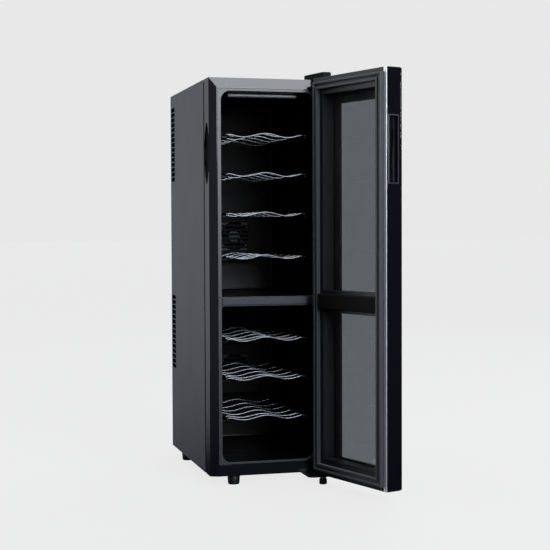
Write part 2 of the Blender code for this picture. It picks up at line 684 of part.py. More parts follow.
def electronics():
    """Power board in the rear compartment, and the lamp under the upper ceiling."""
    z = FLOOR + BOARD_Z
    half_w, half_h = BOARD_SIZE[0] / 2, BOARD_SIZE[1] / 2
    front = FOAM_BACK + BOARD_LIFT
    back = front + BOARD_THICK
    board = box((MID_X - half_w, front, z - half_h), (MID_X + half_w, back, z + half_h))
    parts = []
    for dx, dz, w, h, d in BOARD_PARTS:
        parts.append(box((MID_X + dx - w / 2, front + LAP, z + dz - h / 2),
                         (MID_X + dx + w / 2, back + d, z + dz + h / 2)))
    half = BOARD_POST / 2
    for dx in (BOARD_POST - half_w, half_w - BOARD_POST):
        parts.append(box((MID_X + dx - half, FOAM_BACK + GAP, z - half),
                         (MID_X + dx + half, front + LAP, z + half)))
    node("power_board", join(board, *parts), BOARD)

    top = CAVITY_TOP - GAP
    half = LAMP_LENGTH / 2
    back = LAMP_FRONT + LAMP_DEPTH
    wall = LAMP_WALL
    lamp = box((MID_X - half, LAMP_FRONT, top - LAMP_HEIGHT), (MID_X + half, back, top), 0.002)
    channel = box((MID_X - half + wall, LAMP_FRONT + wall, top - LAMP_HEIGHT + 0.0018),
                  (MID_X + half - wall, back - wall, top + OVER))
    node("lamp_cover", cut(lamp, channel), DIFFUSER)
    wall = LAMP_WALL + 0.002
    strip = box((MID_X - half + wall, LAMP_FRONT + wall, top - 0.0015),
                (MID_X + half - wall, back - wall, top - GAP))
    node("lamp_board", strip, BOARD)


# ---------------------------------------------------------------- feet
def foot(name, x, y):
    profile_top = FLOOR - GAP
    bm = bmesh.new()
    bmesh.ops.create_cone(bm, cap_ends=True, segments=20, radius1=FOOT_RADIUS_BOTTOM,
                          radius2=FOOT_RADIUS_TOP,
                          depth=profile_top, matrix=Matrix.Translation((x, y, profile_top / 2)))
    bottom = [e for e in bm.edges if all(v.co.z < 0.001 for v in e.verts)]
    bmesh.ops.bevel(bm, geom=bottom, offset=0.0015, segments=1, affect="EDGES")
    node(name, solid(bm), SATIN, (x, y, 0), smooth=True)


def feet():
    foot("foot_front_left", *FRONT_FOOT)
    foot("foot_rear_left", *REAR_FOOT)
    foot("foot_rear_right", W - REAR_FOOT[0], REAR_FOOT[1])
    x, y = LEVELLER
    plate_low = PLATE_BOTTOM_Z - PLATE
    pad = cylinder("Z", (x, y), LEVELLER_RADIUS, 0, LEVELLER_PAD, 20)
    stud = cylinder("Z", (x, y), STUD_RADIUS, LEVELLER_PAD - 0.001, PLATE_BOTTOM_Z + 0.0008, 12)
    node("foot_front_right", join(pad, stud), SATIN, (x, y, 0), smooth=True)
    nut = prism(ring_points((x, y), NUT_RADIUS, 6), "Z", plate_low - GAP - NUT_HEIGHT, plate_low - GAP)
    bore = cylinder("Z", (x, y), STUD_RADIUS + GAP, 0, FLOOR, 12)
    node("leveller_nut", cut(nut, bore), STEEL)


# ---------------------------------------------------------------- hinge hardware
def bracket_outline():
    """Bottom hinge plate in plan: a tab under the cabinet that reaches to the pin."""
    low_x = W - 0.002 - BRACKET_WIDTH
    high_x = W - 0.002
    return rounded((low_x, -BRACKET_REACH), (high_x, BRACKET_BACK), (0.012, 0.012, 0.004, 0.004), 3)


def cover_outline(inset):
    """Top hinge cover in plan, drawn in by an inset: its left side slants in to the front."""
    low_x, high_x = W - COVER_INSET_BACK + inset, W + COVER_OVERHANG - inset
    low_y, high_y = COVER_FRONT_Y + inset, COVER_BACK_Y - inset
    front, back = 0.010 - inset, 0.005 - inset
    points = []
    for x, y in rounded((low_x, low_y), (high_x, high_y), (front, front, back, back)):
        share = (high_y - y) / (high_y - low_y) * (high_x - x) / (high_x - low_x)
        points.append((x + (COVER_INSET_BACK - COVER_INSET_FRONT) * share, y))
    return points


def hinge_hardware():
    top = PLATE_TOP_Z
    centre = (PIVOT.x, PIVOT.y)
    plate = prism(cover_outline(BRACKET_MARGIN), "Z", top, top + PLATE)
    plate = cut(plate, cylinder("Z", centre, PIN_RADIUS + GAP, top - OVER, top + OVER, 16))
    node("top_hinge_bracket", plate, STEEL)
    pin = cylinder("Z", centre, PIN_RADIUS, DOOR_TOP - PIN_REACH, top + PLATE + 0.001, 16)
    head = cylinder("Z", centre, PIN_RADIUS * PIN_HEAD, top + PLATE + GAP, top + PLATE + 0.0025, 16)
    node("top_hinge_pin", join(pin, head), STEEL, smooth=True)

    low = PLATE_BOTTOM_Z - PLATE
    plate = prism(bracket_outline(), "Z", low, PLATE_BOTTOM_Z)
    plate = cut(plate, cylinder("Z", centre, PIN_RADIUS + GAP, low - OVER, FLOOR, 16),
                cylinder("Z", LEVELLER, STUD_RADIUS + GAP, low - OVER, FLOOR, 12))
    node("bottom_hinge_bracket", plate, STEEL)
    pin = cylinder("Z", centre, PIN_RADIUS, low - 0.001, DOOR_BOTTOM + PIN_REACH, 16)
    head = cylinder("Z", centre, PIN_RADIUS * PIN_HEAD, low - 0.0025, low - GAP, 16)
    node("bottom_hinge_pin", join(pin, head), STEEL, smooth=True)

    base = FLOOR + H + GAP
    cover = prism(cover_outline(0.0), "Z", base, base + COVER_HEIGHT)
    hollow = prism(cover_outline(COVER_WALL), "Z", base - OVER, base + COVER_HEIGHT - COVER_WALL)
    cover = cut(cover, hollow)
    node("top_hinge_cover", cover, SATIN)


# ---------------------------------------------------------------- door
def door_node(name, shape, mat, smooth=False):
    return node(name, shape, mat, tuple(PIVOT), DOOR, smooth)


def door_windows():
    """Height spans of the two panes' openings in the inner frame."""
    return ((DOOR_BOTTOM + WINDOW_EDGE, FLOOR + MULLION_BOTTOM),
            (FLOOR + MULLION_TOP, DOOR_TOP - WINDOW_EDGE))


def door_outer_frame():
    rear = DOOR_INNER - FLANGE - GAP
    glass_back = DOOR_OUTER + PANE + GAP
    shape = box((0, glass_back, DOOR_BOTTOM), (W, rear, DOOR_TOP), 0.0015)
    hollow = box((DOOR_RIM, DOOR_OUTER, DOOR_BOTTOM + DOOR_RIM), (W - DOOR_RIM, 0, DOOR_TOP - DOOR_RIM))
    y_high = DOOR_INNER - POCKET_INSET
    pocket = box((-OVER, y_high - POCKET_WIDTH, FLOOR + POCKET_BOTTOM),
                 (DOOR_RIM + OVER, y_high, FLOOR + POCKET_TOP))
    centre = (PIVOT.x, PIVOT.y)
    bushes = [cylinder("Z", centre, BUSH_RADIUS + GAP, DOOR_TOP - DOOR_RIM - OVER, DOOR_TOP + OVER, 16),
              cylinder("Z", centre, BUSH_RADIUS + GAP, DOOR_BOTTOM - OVER, DOOR_BOTTOM + DOOR_RIM + OVER,
                       16)]
    door_node("door_outer_frame", cut(shape, hollow, pocket, *bushes), GLOSS)
    for name, low, high in (("door_bush_top", DOOR_TOP - DOOR_RIM + GAP, DOOR_TOP + 0.0003),
                            ("door_bush_bottom", DOOR_BOTTOM - 0.0003, DOOR_BOTTOM + DOOR_RIM - GAP)):
        bush = cylinder("Z", centre, BUSH_RADIUS, low, high, 16)
        bore = cylinder("Z", centre, PIN_RADIUS + GAP, low - OVER, high + OVER, 16)
        door_node(name, cut(bush, bore), DIFFUSER, smooth=True)


def door_inner_frame():
    flange = box((TRIM_WIDTH + GAP, DOOR_INNER - FLANGE, DOOR_BOTTOM), (W, DOOR_INNER, DOOR_TOP), 0.0006)
    edge = DOOR_RIM + GAP
    body = box((edge, DOOR_INNER - INNER_FRAME_DEPTH, DOOR_BOTTOM + edge),
               (W - edge, DOOR_INNER - FLANGE / 2, DOOR_TOP - edge))
    shape = join(flange, body)
    for low, high in door_windows():
        shape = cut(shape, box((WINDOW_EDGE, DOOR_OUTER, low), (W - WINDOW_EDGE, 0, high)))
    door_node("door_inner_frame", shape, SATIN)


def door_glazing():
    """Full front glass, inner pane and the black border that keeps them apart."""
    inset = 0.001
    front = box((inset, DOOR_OUTER, DOOR_BOTTOM + inset),
                (W - inset, DOOR_OUTER + PANE, DOOR_TOP - inset), 0.0008)
    door_node("door_front_glass", front, GLASS)
    pane_front = DOOR_INNER - INNER_FRAME_DEPTH - GAP
    pane = box((PANE_EDGE, pane_front - PANE, DOOR_BOTTOM + PANE_EDGE),
               (W - PANE_EDGE, pane_front, DOOR_TOP - PANE_EDGE))
    door_node("door_inner_glass", pane, GLASS)
    spacer = box((PANE_EDGE, DOOR_OUTER + PANE + GAP, DOOR_BOTTOM + PANE_EDGE),
                 (W - PANE_EDGE, pane_front - PANE - GAP, DOOR_TOP - PANE_EDGE))
    lower = (DOOR_BOTTOM + BORDER_BOTTOM, FLOOR + MULLION_BOTTOM)
    upper = (FLOOR + MULLION_TOP, DOOR_TOP - BORDER_TOP)
    for low, high in (lower, upper):
        spacer = cut(spacer, box((BORDER_SIDE, DOOR_OUTER, low), (W - BORDER_SIDE, 0, high)))
    z = FLOOR + (MULLION_BOTTOM + MULLION_TOP) / 2
    half_w, half_h = CONTROL_SIZE[0] / 2, CONTROL_SIZE[1] / 2
    spacer = cut(spacer, box((MID_X - half_w - 0.001, DOOR_OUTER, z - half_h - 0.001),
                             (MID_X + half_w + 0.001, 0, z + half_h + 0.001)))
    door_node("glass_border", spacer, SATIN)
    front_y = DOOR_OUTER + PANE + GAP
    control = box((MID_X - half_w, front_y, z - half_h),
                  (MID_X + half_w, front_y + BOARD_THICK, z + half_h))
    half_w, half_h = READOUT_SIZE[0] / 2, READOUT_SIZE[1] / 2
    readouts = []
    for x in (MID_X - READOUT_X, MID_X + READOUT_X):
        readouts.append(box((x - half_w, front_y + LAP, z - half_h),
                            (x + half_w, front_y + 0.0036, z + half_h)))
    door_node("control_board", join(control, *readouts), BOARD)


def ring(low, high, width, y_low, y_high):
    shape = box((low[0], y_low, low[1]), (high[0], y_high, high[1]), 0.001)
    hole = box((low[0] + width, y_low - OVER, low[1] + width),
               (high[0] - width, y_high + OVER, high[1] - width))
    return cut(shape, hole)


def door_gaskets():
    low = (GASKET_EDGE, DOOR_BOTTOM + GASKET_EDGE)
    high = (W - GASKET_EDGE, DOOR_TOP - GASKET_EDGE)
    back = DOOR_INNER + GAP
    front = -GASKET_REST
    shape = ring(low, high, GASKET_WIDTH, back, front)
    third = GASKET_WIDTH / 3
    groove = ring((low[0] + third, low[1] + third), (high[0] - third, high[1] - third), third,
                  front - GASKET_GROOVE, front + 0.002)
    door_node("door_gasket", cut(shape, groove), RUBBER)
    z = FLOOR + (MULLION_BOTTOM + MULLION_TOP) / 2
    side = GASKET_EDGE + GASKET_WIDTH + GAP
    bar = box((side, back, z - BAR_HEIGHT / 2), (W - side, front, z + BAR_HEIGHT / 2), 0.002)
    door_node("mullion_gasket", bar, RUBBER)


def door_handle():
    """Silver edge strip on the free side, and the finger pocket in the edge."""
    trim = box((0, DOOR_INNER - FLANGE, DOOR_BOTTOM), (TRIM_WIDTH, DOOR_INNER, DOOR_TOP), 0.0006)
    door_node("door_edge_trim", trim, ALUMINIUM)
    y_high = DOOR_INNER - POCKET_INSET - GAP
    y_low = y_high - POCKET_WIDTH + 2 * GAP
    z_low, z_high = FLOOR + POCKET_BOTTOM + GAP, FLOOR + POCKET_TOP - GAP
    cup = box((-0.0006, y_low, z_low), (DOOR_RIM - GAP, y_high, z_high))
    wall = POCKET_WALL
    hollow = box((-OVER, y_low + wall, z_low + wall), (DOOR_RIM - GAP - wall, y_high - wall, z_high - wall))
    cup = cut(cup, hollow)
    rib = box((-0.0045, -0.001, -0.045), (0.0045, 0.001, 0.045))
    lean = Matrix.Rotation(math.radians(4), 4, "X")
    centre = (0.0060, (y_low + y_high) / 2, (z_low + z_high) / 2)
    rib.data.transform(Matrix.Translation(centre) @ lean)
    door_node("door_handle_pocket", join(cup, rib), GLOSS)


# ---------------------------------------------------------------- build
front_frame()
side_panel("side_panel_left", 0.0, 1)
side_panel("side_panel_right", W, -1)
flat_panels()
power_inlet()
for zone_name in ("upper", "lower"):
    liner(zone_name)
    cooling_module(zone_name)
    for number, crest_z in enumerate(shelf_heights(zone_name), 1):
        shelf(f"{zone_name}_shelf_{number}", crest_z)
foam_body()
divider_strip()
electronics()
feet()
hinge_hardware()
door_outer_frame()
door_inner_frame()
door_glazing()
door_gaskets()
door_handle()


def centre_on_footprint():
    """Move the root so that the origin is on the floor under the middle of the standing object."""
    bpy.context.view_layer.update()
    corners = [piece.matrix_world @ vertex.co for piece in bpy.data.objects if piece.type == "MESH"
               for vertex in piece.data.vertices]
    for axis in (0, 1):
        places = [corner[axis] for corner in corners]
        ROOT.location[axis] = -(min(places) + max(places)) / 2


centre_on_footprint()
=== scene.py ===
# %% [markdown]
# # A slim two-zone wine cooler, standing with its glass door open
#
# The cooler is a painted steel cabinet with two black plastic tubs inside, chromed wire shelves,
# and a thick glass door hung on its right-hand side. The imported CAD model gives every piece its
# place and its size. This lesson gives the pieces their finishes, and remakes the ones whose looks
# depend on soft edges, round wires and moulded ribs.

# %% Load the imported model
import json
from math import cos, degrees, radians, sin, tau

import bmesh
import bpy
from mathutils import Matrix, Vector

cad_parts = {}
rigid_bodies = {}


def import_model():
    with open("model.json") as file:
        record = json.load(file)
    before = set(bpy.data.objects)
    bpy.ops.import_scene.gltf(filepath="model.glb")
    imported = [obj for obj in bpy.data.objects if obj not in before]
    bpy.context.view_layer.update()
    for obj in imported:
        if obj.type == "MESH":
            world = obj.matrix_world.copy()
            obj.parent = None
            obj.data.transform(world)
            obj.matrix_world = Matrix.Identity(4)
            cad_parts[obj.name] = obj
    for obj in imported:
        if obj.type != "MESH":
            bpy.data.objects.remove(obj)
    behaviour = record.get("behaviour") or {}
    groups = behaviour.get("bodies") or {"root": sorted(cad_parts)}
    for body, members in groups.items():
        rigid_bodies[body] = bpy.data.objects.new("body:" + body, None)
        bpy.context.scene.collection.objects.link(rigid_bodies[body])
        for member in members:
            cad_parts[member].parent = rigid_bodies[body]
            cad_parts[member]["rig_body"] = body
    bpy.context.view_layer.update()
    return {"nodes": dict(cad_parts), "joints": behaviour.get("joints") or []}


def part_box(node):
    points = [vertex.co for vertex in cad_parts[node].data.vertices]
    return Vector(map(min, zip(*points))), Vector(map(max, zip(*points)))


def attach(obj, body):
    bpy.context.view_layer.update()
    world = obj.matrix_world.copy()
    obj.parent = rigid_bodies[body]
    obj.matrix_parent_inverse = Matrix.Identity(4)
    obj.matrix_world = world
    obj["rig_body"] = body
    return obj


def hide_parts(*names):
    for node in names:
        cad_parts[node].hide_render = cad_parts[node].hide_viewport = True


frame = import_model()
nodes = frame["nodes"]

# %% [markdown]
# ## Two sets of measurements
#
# It is easiest to work on a cabinet from its own front left bottom corner: x runs to the right,
# y runs back from the front face, and z runs up from the underside. The door is easiest to work on
# while it is shut. So each new piece is drawn in those measurements, and one of two matrices takes
# it to its place: one for the cabinet, and one that also swings the door about its hinge line.

# %% The cabinet's corner and the door's swing
corner, far_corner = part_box("front_frame")
back_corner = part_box("side_panel_right")[1]
WIDTH = far_corner.x - corner.x
HEIGHT = far_corner.z - corner.z
DEPTH = back_corner.y - corner.y
MIDDLE = WIDTH / 2
CABINET = Matrix.Translation(corner)

pin_low, pin_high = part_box("top_hinge_pin")
hinge = Vector(((pin_low.x + pin_high.x) / 2, (pin_low.y + pin_high.y) / 2, corner.z))
hinge_local = hinge - corner
swing_joint = next(j for j in frame["joints"] if j["name"] == "door_hinge")
SWING = radians(-swing_joint["range_deg"][0])
DOOR = Matrix.Translation(hinge) @ Matrix.Rotation(SWING, 4, "Z") @ Matrix.Translation(-hinge_local)
print(f"cabinet {WIDTH:.3f} x {DEPTH:.3f} x {HEIGHT:.3f} m, door open {degrees(SWING):.1f} degrees")

# %% [markdown]
# ## Drawing shapes in code
#
# Most pieces of a cooler are long sections pushed or swept along a path: mouldings, gaskets, wires
# and tubs. A loft covers all of them. It takes rings with the same number of points, and skins them
# with four-sided faces. The rings can be rounded rectangles of growing size for a moulding, small
# circles that follow a wire, or circles of changing size for a screw, a foot or a capacitor.

# %% Loft, outline and section helpers
def skin(rings, closed=False, ends=True):
    """Bmesh with faces between each ring and the next; closed joins the last ring to the first."""
    bm = bmesh.new()
    rows = [[bm.verts.new(point) for point in ring] for ring in rings]
    pairs = list(zip(rows, rows[1:])) + ([(rows[-1], rows[0])] if closed else [])
    count = len(rows[0])
    for first, second in pairs:
        for k in range(count):
            n = (k + 1) % count
            bm.faces.new((first[k], first[n], second[n], second[k]))
    if ends and not closed:
        bm.faces.new(rows[0])
        bm.faces.new(rows[-1])
    bmesh.ops.recalc_face_normals(bm, faces=bm.faces)
    return bm


def rounded(low, high, radii, steps=8):
    """Rectangle outline with a radius for each corner: low-left, low-right, high-right, high-left."""
    spots = ((low[0], low[1], 180), (high[0], low[1], 270), (high[0], high[1], 0), (low[0], high[1], 90))
    points = []
    for (x, y, start), radius in zip(spots, radii):
        radius = max(radius, 0.0001)
        cx = x + radius if x == low[0] else x - radius
        cy = y + radius if y == low[1] else y - radius
        for i in range(steps + 1):
            turn = radians(start + 90 * i / steps)
            points.append((cx + radius * cos(turn), cy + radius * sin(turn)))
    return points


def flat_ring(outline, level, axis="Y"):
    """An outline stood at a level along an axis: X takes (y, z), Y takes (x, z), Z takes (x, y)."""
    if axis == "X":
        return [Vector((level, a, b)) for a, b in outline]
    if axis == "Y":
        return [Vector((a, level, b)) for a, b in outline]
    return [Vector((a, b, level)) for a, b in outline]


def circle(centre, radius, sides, ripple=0.0, waves=0):
    points = []
    for i in range(sides):
        turn = tau * i / sides
        reach = radius + ripple * cos(waves * turn)
        points.append((centre[0] + reach * cos(turn), centre[1] + reach * sin(turn)))
    return points


GRIP_RADIUS = 0.0085  # a ripple, for knurling, only cuts into what is wider than this


def turned(profile, centre, sides=24, axis="Z", ripple=0.0, waves=0):
    """A turned shape: circles of (radius, level) along an axis."""
    rings = []
    for radius, level in profile:
        depth = ripple if radius > GRIP_RADIUS else 0.0
        rings.append(flat_ring(circle(centre, radius - depth, sides, depth, waves), level, axis))
    return skin(rings)


def brick(low, high, edge):
    """A block with rounded upright and level edges."""
    outline = rounded(low[:2], high[:2], (edge * 2,) * 4, 3)
    inner = rounded((low[0] + edge, low[1] + edge), (high[0] - edge, high[1] - edge), (edge,) * 4, 3)
    rings = [flat_ring(inner, low[2], "Z"), flat_ring(outline, low[2] + edge, "Z"),
             flat_ring(outline, high[2] - edge, "Z"), flat_ring(inner, high[2], "Z")]
    return skin(rings)


FINE_EDGE = 0.0002  # rounding of small or hidden edges


def slab(centre, size, edge):
    """A brick given by its centre and its size."""
    half = Vector(size) / 2
    return brick(tuple(Vector(centre) - half), tuple(Vector(centre) + half), edge)


def cabinet_box(name):
    """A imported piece's low and high corners, in the cabinet's measurements."""
    return [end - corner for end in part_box(name)]


print("corner points in a rounded outline:", len(rounded((0, 0), (1, 1), (0.1,) * 4)))

# %% [markdown]
# ## Putting a piece in place
#
# A finished mesh becomes an object, goes through the cabinet's or the door's matrix, takes a
# material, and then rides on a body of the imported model. Smooth shading with a limit angle keeps
# moulded corners soft and cut corners crisp. Each drawn piece prints its number of faces.

# %% Turning meshes into pieces
def to_object(name, bm):
    mesh = bpy.data.meshes.new(name)
    bm.to_mesh(mesh)
    bm.free()
    piece = bpy.data.objects.new(name, mesh)
    bpy.context.scene.collection.objects.link(piece)
    return piece


def gather(whole, parts):
    """Adds parts to a bmesh. Each part is a bmesh of its own, with the number of its material."""
    for part, number in parts:
        for face in part.faces:
            face.material_index = number
        scrap = bpy.data.meshes.new("scrap")
        part.to_mesh(scrap)
        part.free()
        whole.from_mesh(scrap)
        bpy.data.meshes.remove(scrap)


def merged(name, parts):
    whole = bmesh.new()
    gather(whole, parts)
    return to_object(name, whole)


def apply_modifiers(piece):
    result = piece.evaluated_get(bpy.context.evaluated_depsgraph_get())
    mesh = bpy.data.meshes.new_from_object(result)
    piece.modifiers.clear()
    piece.data = mesh


def carve(piece, cutter):
    """Exact Boolean: takes the cutter's shape out of the piece."""
    step = piece.modifiers.new("carve", "BOOLEAN")
    step.object = cutter
    step.solver = "EXACT"
    apply_modifiers(piece)
    bpy.data.objects.remove(cutter, do_unlink=True)


def place(piece, body, finishes, stands_for=(), angle=35, from_cad=False):
    """Moves a drawn mesh to its place, dresses it, puts it on its body, and hides the parts it replaces.
    """
    if not from_cad:
        piece.data.transform(DOOR if body == "door" else CABINET)
    numbers = [face.material_index for face in piece.data.polygons]
    piece.data.materials.clear()  # this also sets every face's number to 0, so they are put back
    for finish in finishes:
        piece.data.materials.append(finish)
    piece.data.polygons.foreach_set("material_index", [min(n, len(finishes) - 1) for n in numbers])
    piece.data.shade_smooth()
    piece.data.set_sharp_from_angle(angle=radians(angle))
    if from_cad:
        step = piece.modifiers.new("weights", "WEIGHTED_NORMAL")
        step.keep_sharp = True
        apply_modifiers(piece)
    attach(piece, body)
    if stands_for:
        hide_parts(*stands_for)
    if not from_cad:
        print(piece.name, "faces:", len(piece.data.polygons))


# %% [markdown]
# ## Edges that catch the light
#
# No moulded or pressed edge is perfectly sharp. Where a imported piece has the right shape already,
# a copy of it gets its flat faces joined up again and its edges rounded by half a millimetre or so.
# Weighted normals keep the flat faces flat and leave the highlight on the rounding alone.

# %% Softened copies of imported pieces
WELD = 0.000005  # metres
FLAT_ENOUGH = radians(0.5)
SHARP = radians(28)


def softened(node, width, finish, segments=2):
    bm = bmesh.new()
    bm.from_mesh(nodes[node].data)
    bmesh.ops.remove_doubles(bm, verts=bm.verts, dist=WELD)
    bmesh.ops.dissolve_limit(bm, angle_limit=FLAT_ENOUGH, verts=bm.verts, edges=bm.edges)
    sharp = [e for e in bm.edges if len(e.link_faces) == 2 and e.calc_face_angle() > SHARP]
    bmesh.ops.bevel(bm, geom=sharp, offset=width, segments=segments, profile=0.5, affect="EDGES",
                    clamp_overlap=True)
    piece = to_object(node + "_finished", bm)
    place(piece, nodes[node]["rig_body"], [finish], [node], from_cad=True)


# %% [markdown]
# ## Colours and nodes
#
# Colours are written as the hex numbers a designer would use, which are sRGB, and one function
# turns them into the linear values that Cycles mixes light in. One more function adds a node, sets
# it up and wires it. A small class keeps a material's nodes together while it is made, so that each
# finish below reads as a short list of steps: a pattern, then what it does to colour, gloss and
# relief.

# %% One function for colour, one for nodes, one class for a finish
def linear(code):
    """Linear red, green, blue and alpha of an sRGB hex colour."""
    parts = [int(code[i:i + 2], 16) / 255 for i in (1, 3, 5)]
    return (*[p / 12.92 if p <= 0.04045 else ((p + 0.055) / 1.055) ** 2.4 for p in parts], 1.0)


def add(tree, kind, inputs=None, **settings):
    """Adds a node. Inputs pairs an input with a value, or with another node's output to link."""
    node = tree.nodes.new("ShaderNode" + kind)
    for key, value in settings.items():
        setattr(node, key, value)
    for key, value in (inputs or {}).items():
        if isinstance(value, bpy.types.NodeSocket):
            tree.links.new(value, node.inputs[key])
        else:
            node.inputs[key].default_value = value
    return node


class Finish:
    """A material while it is made. Spot is the place of each point in metres, for patterns."""

    def __init__(self, name, colour, rough, metal=0.0, ior=1.5, shine=0.5):
        self.material = bpy.data.materials.new(name)
        self.material.use_nodes = True
        self.tree = self.material.node_tree
        self.shader = self.tree.nodes["Principled BSDF"]
        self.set("Base Color", linear(colour))
        self.set("Roughness", rough)
        self.set("Metallic", metal)
        self.set("Specular IOR Level", shine)
        if not metal:
            self.set("IOR", ior)
        self.spot = add(self.tree, "TexCoord").outputs["Object"]

    def set(self, name, value):
        self.shader.inputs[name].default_value = value

    def feed(self, name, output):
        self.tree.links.new(output, self.shader.inputs[name])

    def noise(self, millimetres, detail, spot=None):
        """Soft noise with features about this many millimetres across."""
        inputs = {"Vector": spot or self.spot, "Scale": 1000 / millimetres, "Detail": detail}
        return add(self.tree, "TexNoise", inputs).outputs["Fac"]

    def cells(self, millimetres):
        """Rounded grains: the distance from the middle of each cell."""
        inputs = {"Vector": self.spot, "Scale": 1000 / millimetres}
        return add(self.tree, "TexVoronoi", inputs).outputs["Distance"]

    def tint(self, value, dark, light):
        inputs = {"Factor": value, "A": linear(dark), "B": linear(light)}
        self.feed("Base Color", add(self.tree, "Mix", inputs, data_type="RGBA").outputs["Result"])

    def gloss(self, value, low, high, start=0.0):
        inputs = {"Value": value, "From Min": start, "To Min": low, "To Max": high}
        self.feed("Roughness", add(self.tree, "MapRange", inputs).outputs["Result"])

    def relief(self, value, strength, depth):
        inputs = {"Height": value, "Strength": strength, "Distance": depth}
        self.feed("Normal", add(self.tree, "Bump", inputs).outputs["Normal"])


print("mid grey in linear light:", round(linear("#808080")[0], 3))

# %% [markdown]
# ## Powder-coated steel sheet
#
# The sides, top, base and back are thin steel sheet with a baked powder coat. The powder melts into
# a skin that is never quite level, so the gloss breaks up in a faint orange peel, a few millimetres
# from bump to bump. The colour is a blue black.

# %% Powder-coated steel, baked
steel = Finish("steel_sheet_powder_coated", "#2e3038", 0.34, ior=1.52, shine=0.62)
peel, cloud = steel.noise(3.5, 2.0), steel.noise(90, 3.0)
steel.tint(cloud, "#3a3c48", "#434552")
steel.gloss(cloud, 0.29, 0.38)
steel.relief(peel, 0.10, 0.0002)
PAINT = steel.material

# %% [markdown]
# ## Moulded ABS, polished and textured
#
# The front moulding, the door's outer frame and the handle cup come from a polished tool, so they
# are glossy with a very slight waviness where the plastic shrank as it cooled. The inner door frame,
# divider, tub lips, feet and fans come from a spark-eroded tool, which leaves a fine satin grain.
# The tub lips also get a lighter colour than the rest of their skin, which is painted highlight.
# The real grain is about a tenth of a millimetre; it is drawn at about half a millimetre, the
# finest that still shows.

# %% Gloss ABS, polished tool
polished = Finish("abs_gloss_moulded", "#0a0b10", 0.10, ior=1.54, shine=0.3)
polished.gloss(polished.noise(40, 4.0), 0.07, 0.15)
polished.relief(polished.noise(14, 1.0), 0.05, 0.0004)
GLOSS = polished.material


# %% Satin ABS, spark-eroded tool
def satin_abs(name, dark, light, rough, shine):
    finish = Finish(name, dark, rough, ior=1.54, shine=shine)
    grain = finish.cells(0.6)
    finish.tint(finish.noise(25, 3.0), dark, light)
    finish.gloss(grain, rough - 0.06, rough + 0.08)
    finish.relief(grain, 0.16, 0.0001)
    return finish.material


SATIN = satin_abs("abs_satin_moulded", "#0d0d10", "#131317", 0.42, 0.3)
GRAPHITE = satin_abs("abs_graphite_moulded", "#25272e", "#2f3139", 0.42, 0.25)
# the lip's colour, lighter than the tub's black, is painted highlight for the line it catches
LIP = satin_abs("abs_lip_satin_painted_highlight", "#131418", "#191a1f", 0.42, 0.58)
BEZEL = satin_abs("abs_bezel_dark_grey", "#2b2c33", "#34353d", 0.40, 0.3)

# %% [markdown]
# ## Vacuum-formed polystyrene
#
# The two tubs are sheets of black polystyrene, warmed and sucked over a mould. Stretching leaves
# the skin smooth but slightly uneven, so reflections wander over a few centimetres.

# %% Polystyrene, vacuum-formed
formed = Finish("polystyrene_vacuum_formed", "#050506", 0.30, ior=1.59, shine=0.06)
stretch = formed.noise(35, 2.0)
formed.gloss(stretch, 0.22, 0.38)
formed.relief(stretch, 0.12, 0.001)
LINER = formed.material

# %% [markdown]
# ## Extruded PVC gasket
#
# The door seal is soft PVC, squeezed through a die. That gives a dull, slightly dusty skin with
# fine lines along its length. Soft PVC also has a faint pale bloom at a low angle, which is sheen.

# %% PVC, extruded
pvc = Finish("pvc_gasket_extruded", "#2c2d31", 0.52, ior=1.53)
pvc.set("Sheen Weight", 0.12)
dust = pvc.noise(5, 5.0)
pvc.tint(dust, "#26272b", "#34353a")
pvc.relief(dust, 0.15, 0.0002)
GASKET = pvc.material

# %% [markdown]
# ## Metals
#
# A metal's colour is the colour of its reflections, and its roughness is how it was worked. The
# shelf wire is drawn steel with a dark, slightly blurred chrome plate. The door's edge strip is
# aluminium, brushed along its length and anodised, so its reflections smear across the brush lines.
# The sinks are extruded, with die lines up their fins: bare aluminium on the hot side, and anodised
# black on the cold side. The hinge pins are zinc-plated, a duller grey with a patchy crystal bloom,
# and the hinge plates have the same plate dyed black.

# %% Chrome-plated wire
chromed = Finish("steel_wire_chrome_plated", "#525458", 0.26, metal=1.0)
pull = chromed.noise(6, 3.0)
chromed.gloss(pull, 0.20, 0.32)
chromed.tint(pull, "#4a4c4f", "#5a5c60")
CHROME = chromed.material


# %% Aluminium, zinc and other worked metals
def worked_metal(name, dark, light, rough, grain_mm, stretch, depth):
    """Metal with a streaked grain; stretch gives the pattern's scale along x, y and z."""
    finish = Finish(name, dark, rough, metal=1.0)
    drawn = add(finish.tree, "Mapping", {"Vector": finish.spot, "Scale": stretch})
    grain = finish.noise(grain_mm, 4.0, drawn.outputs["Vector"])
    finish.tint(grain, dark, light)
    finish.gloss(grain, rough - 0.08, rough + 0.08)
    finish.relief(grain, depth, 0.0001)
    return finish.material


# brush lines are a tenth of a millimetre apart; drawn three times coarser so that they show
BRUSHED = worked_metal("aluminium_brushed_anodised", "#e8eaee", "#f6f7f9", 0.52, 0.3, (1, 1, 0.02), 0.06)
EXTRUDED = worked_metal("aluminium_extruded", "#a9abb0", "#c6c8cc", 0.36, 0.8, (1, 1, 0.03), 0.2)
ANODISED = worked_metal("aluminium_black_anodised", "#17181b", "#202125", 0.36, 0.8, (1, 1, 0.03), 0.2)
PLATED = worked_metal("steel_zinc_plated_black", "#1c1d20", "#26272b", 0.45, 4.0, (1, 1, 1), 0.08)
ZINC = worked_metal("steel_zinc_plated", "#8f9196", "#b4b6ba", 0.36, 4.0, (1, 1, 1), 0.08)

# %% [markdown]
# ## Glass
#
# The front pane is smoked float glass and the inner one is clear. Glass colours light as it goes
# in and again as it comes out, so a pane's base colour is what is left after both: the smoked pane
# passes about a fifth of the light. Fingermarks and wiping leave a very slight haze, which is the
# only pattern glass should have.

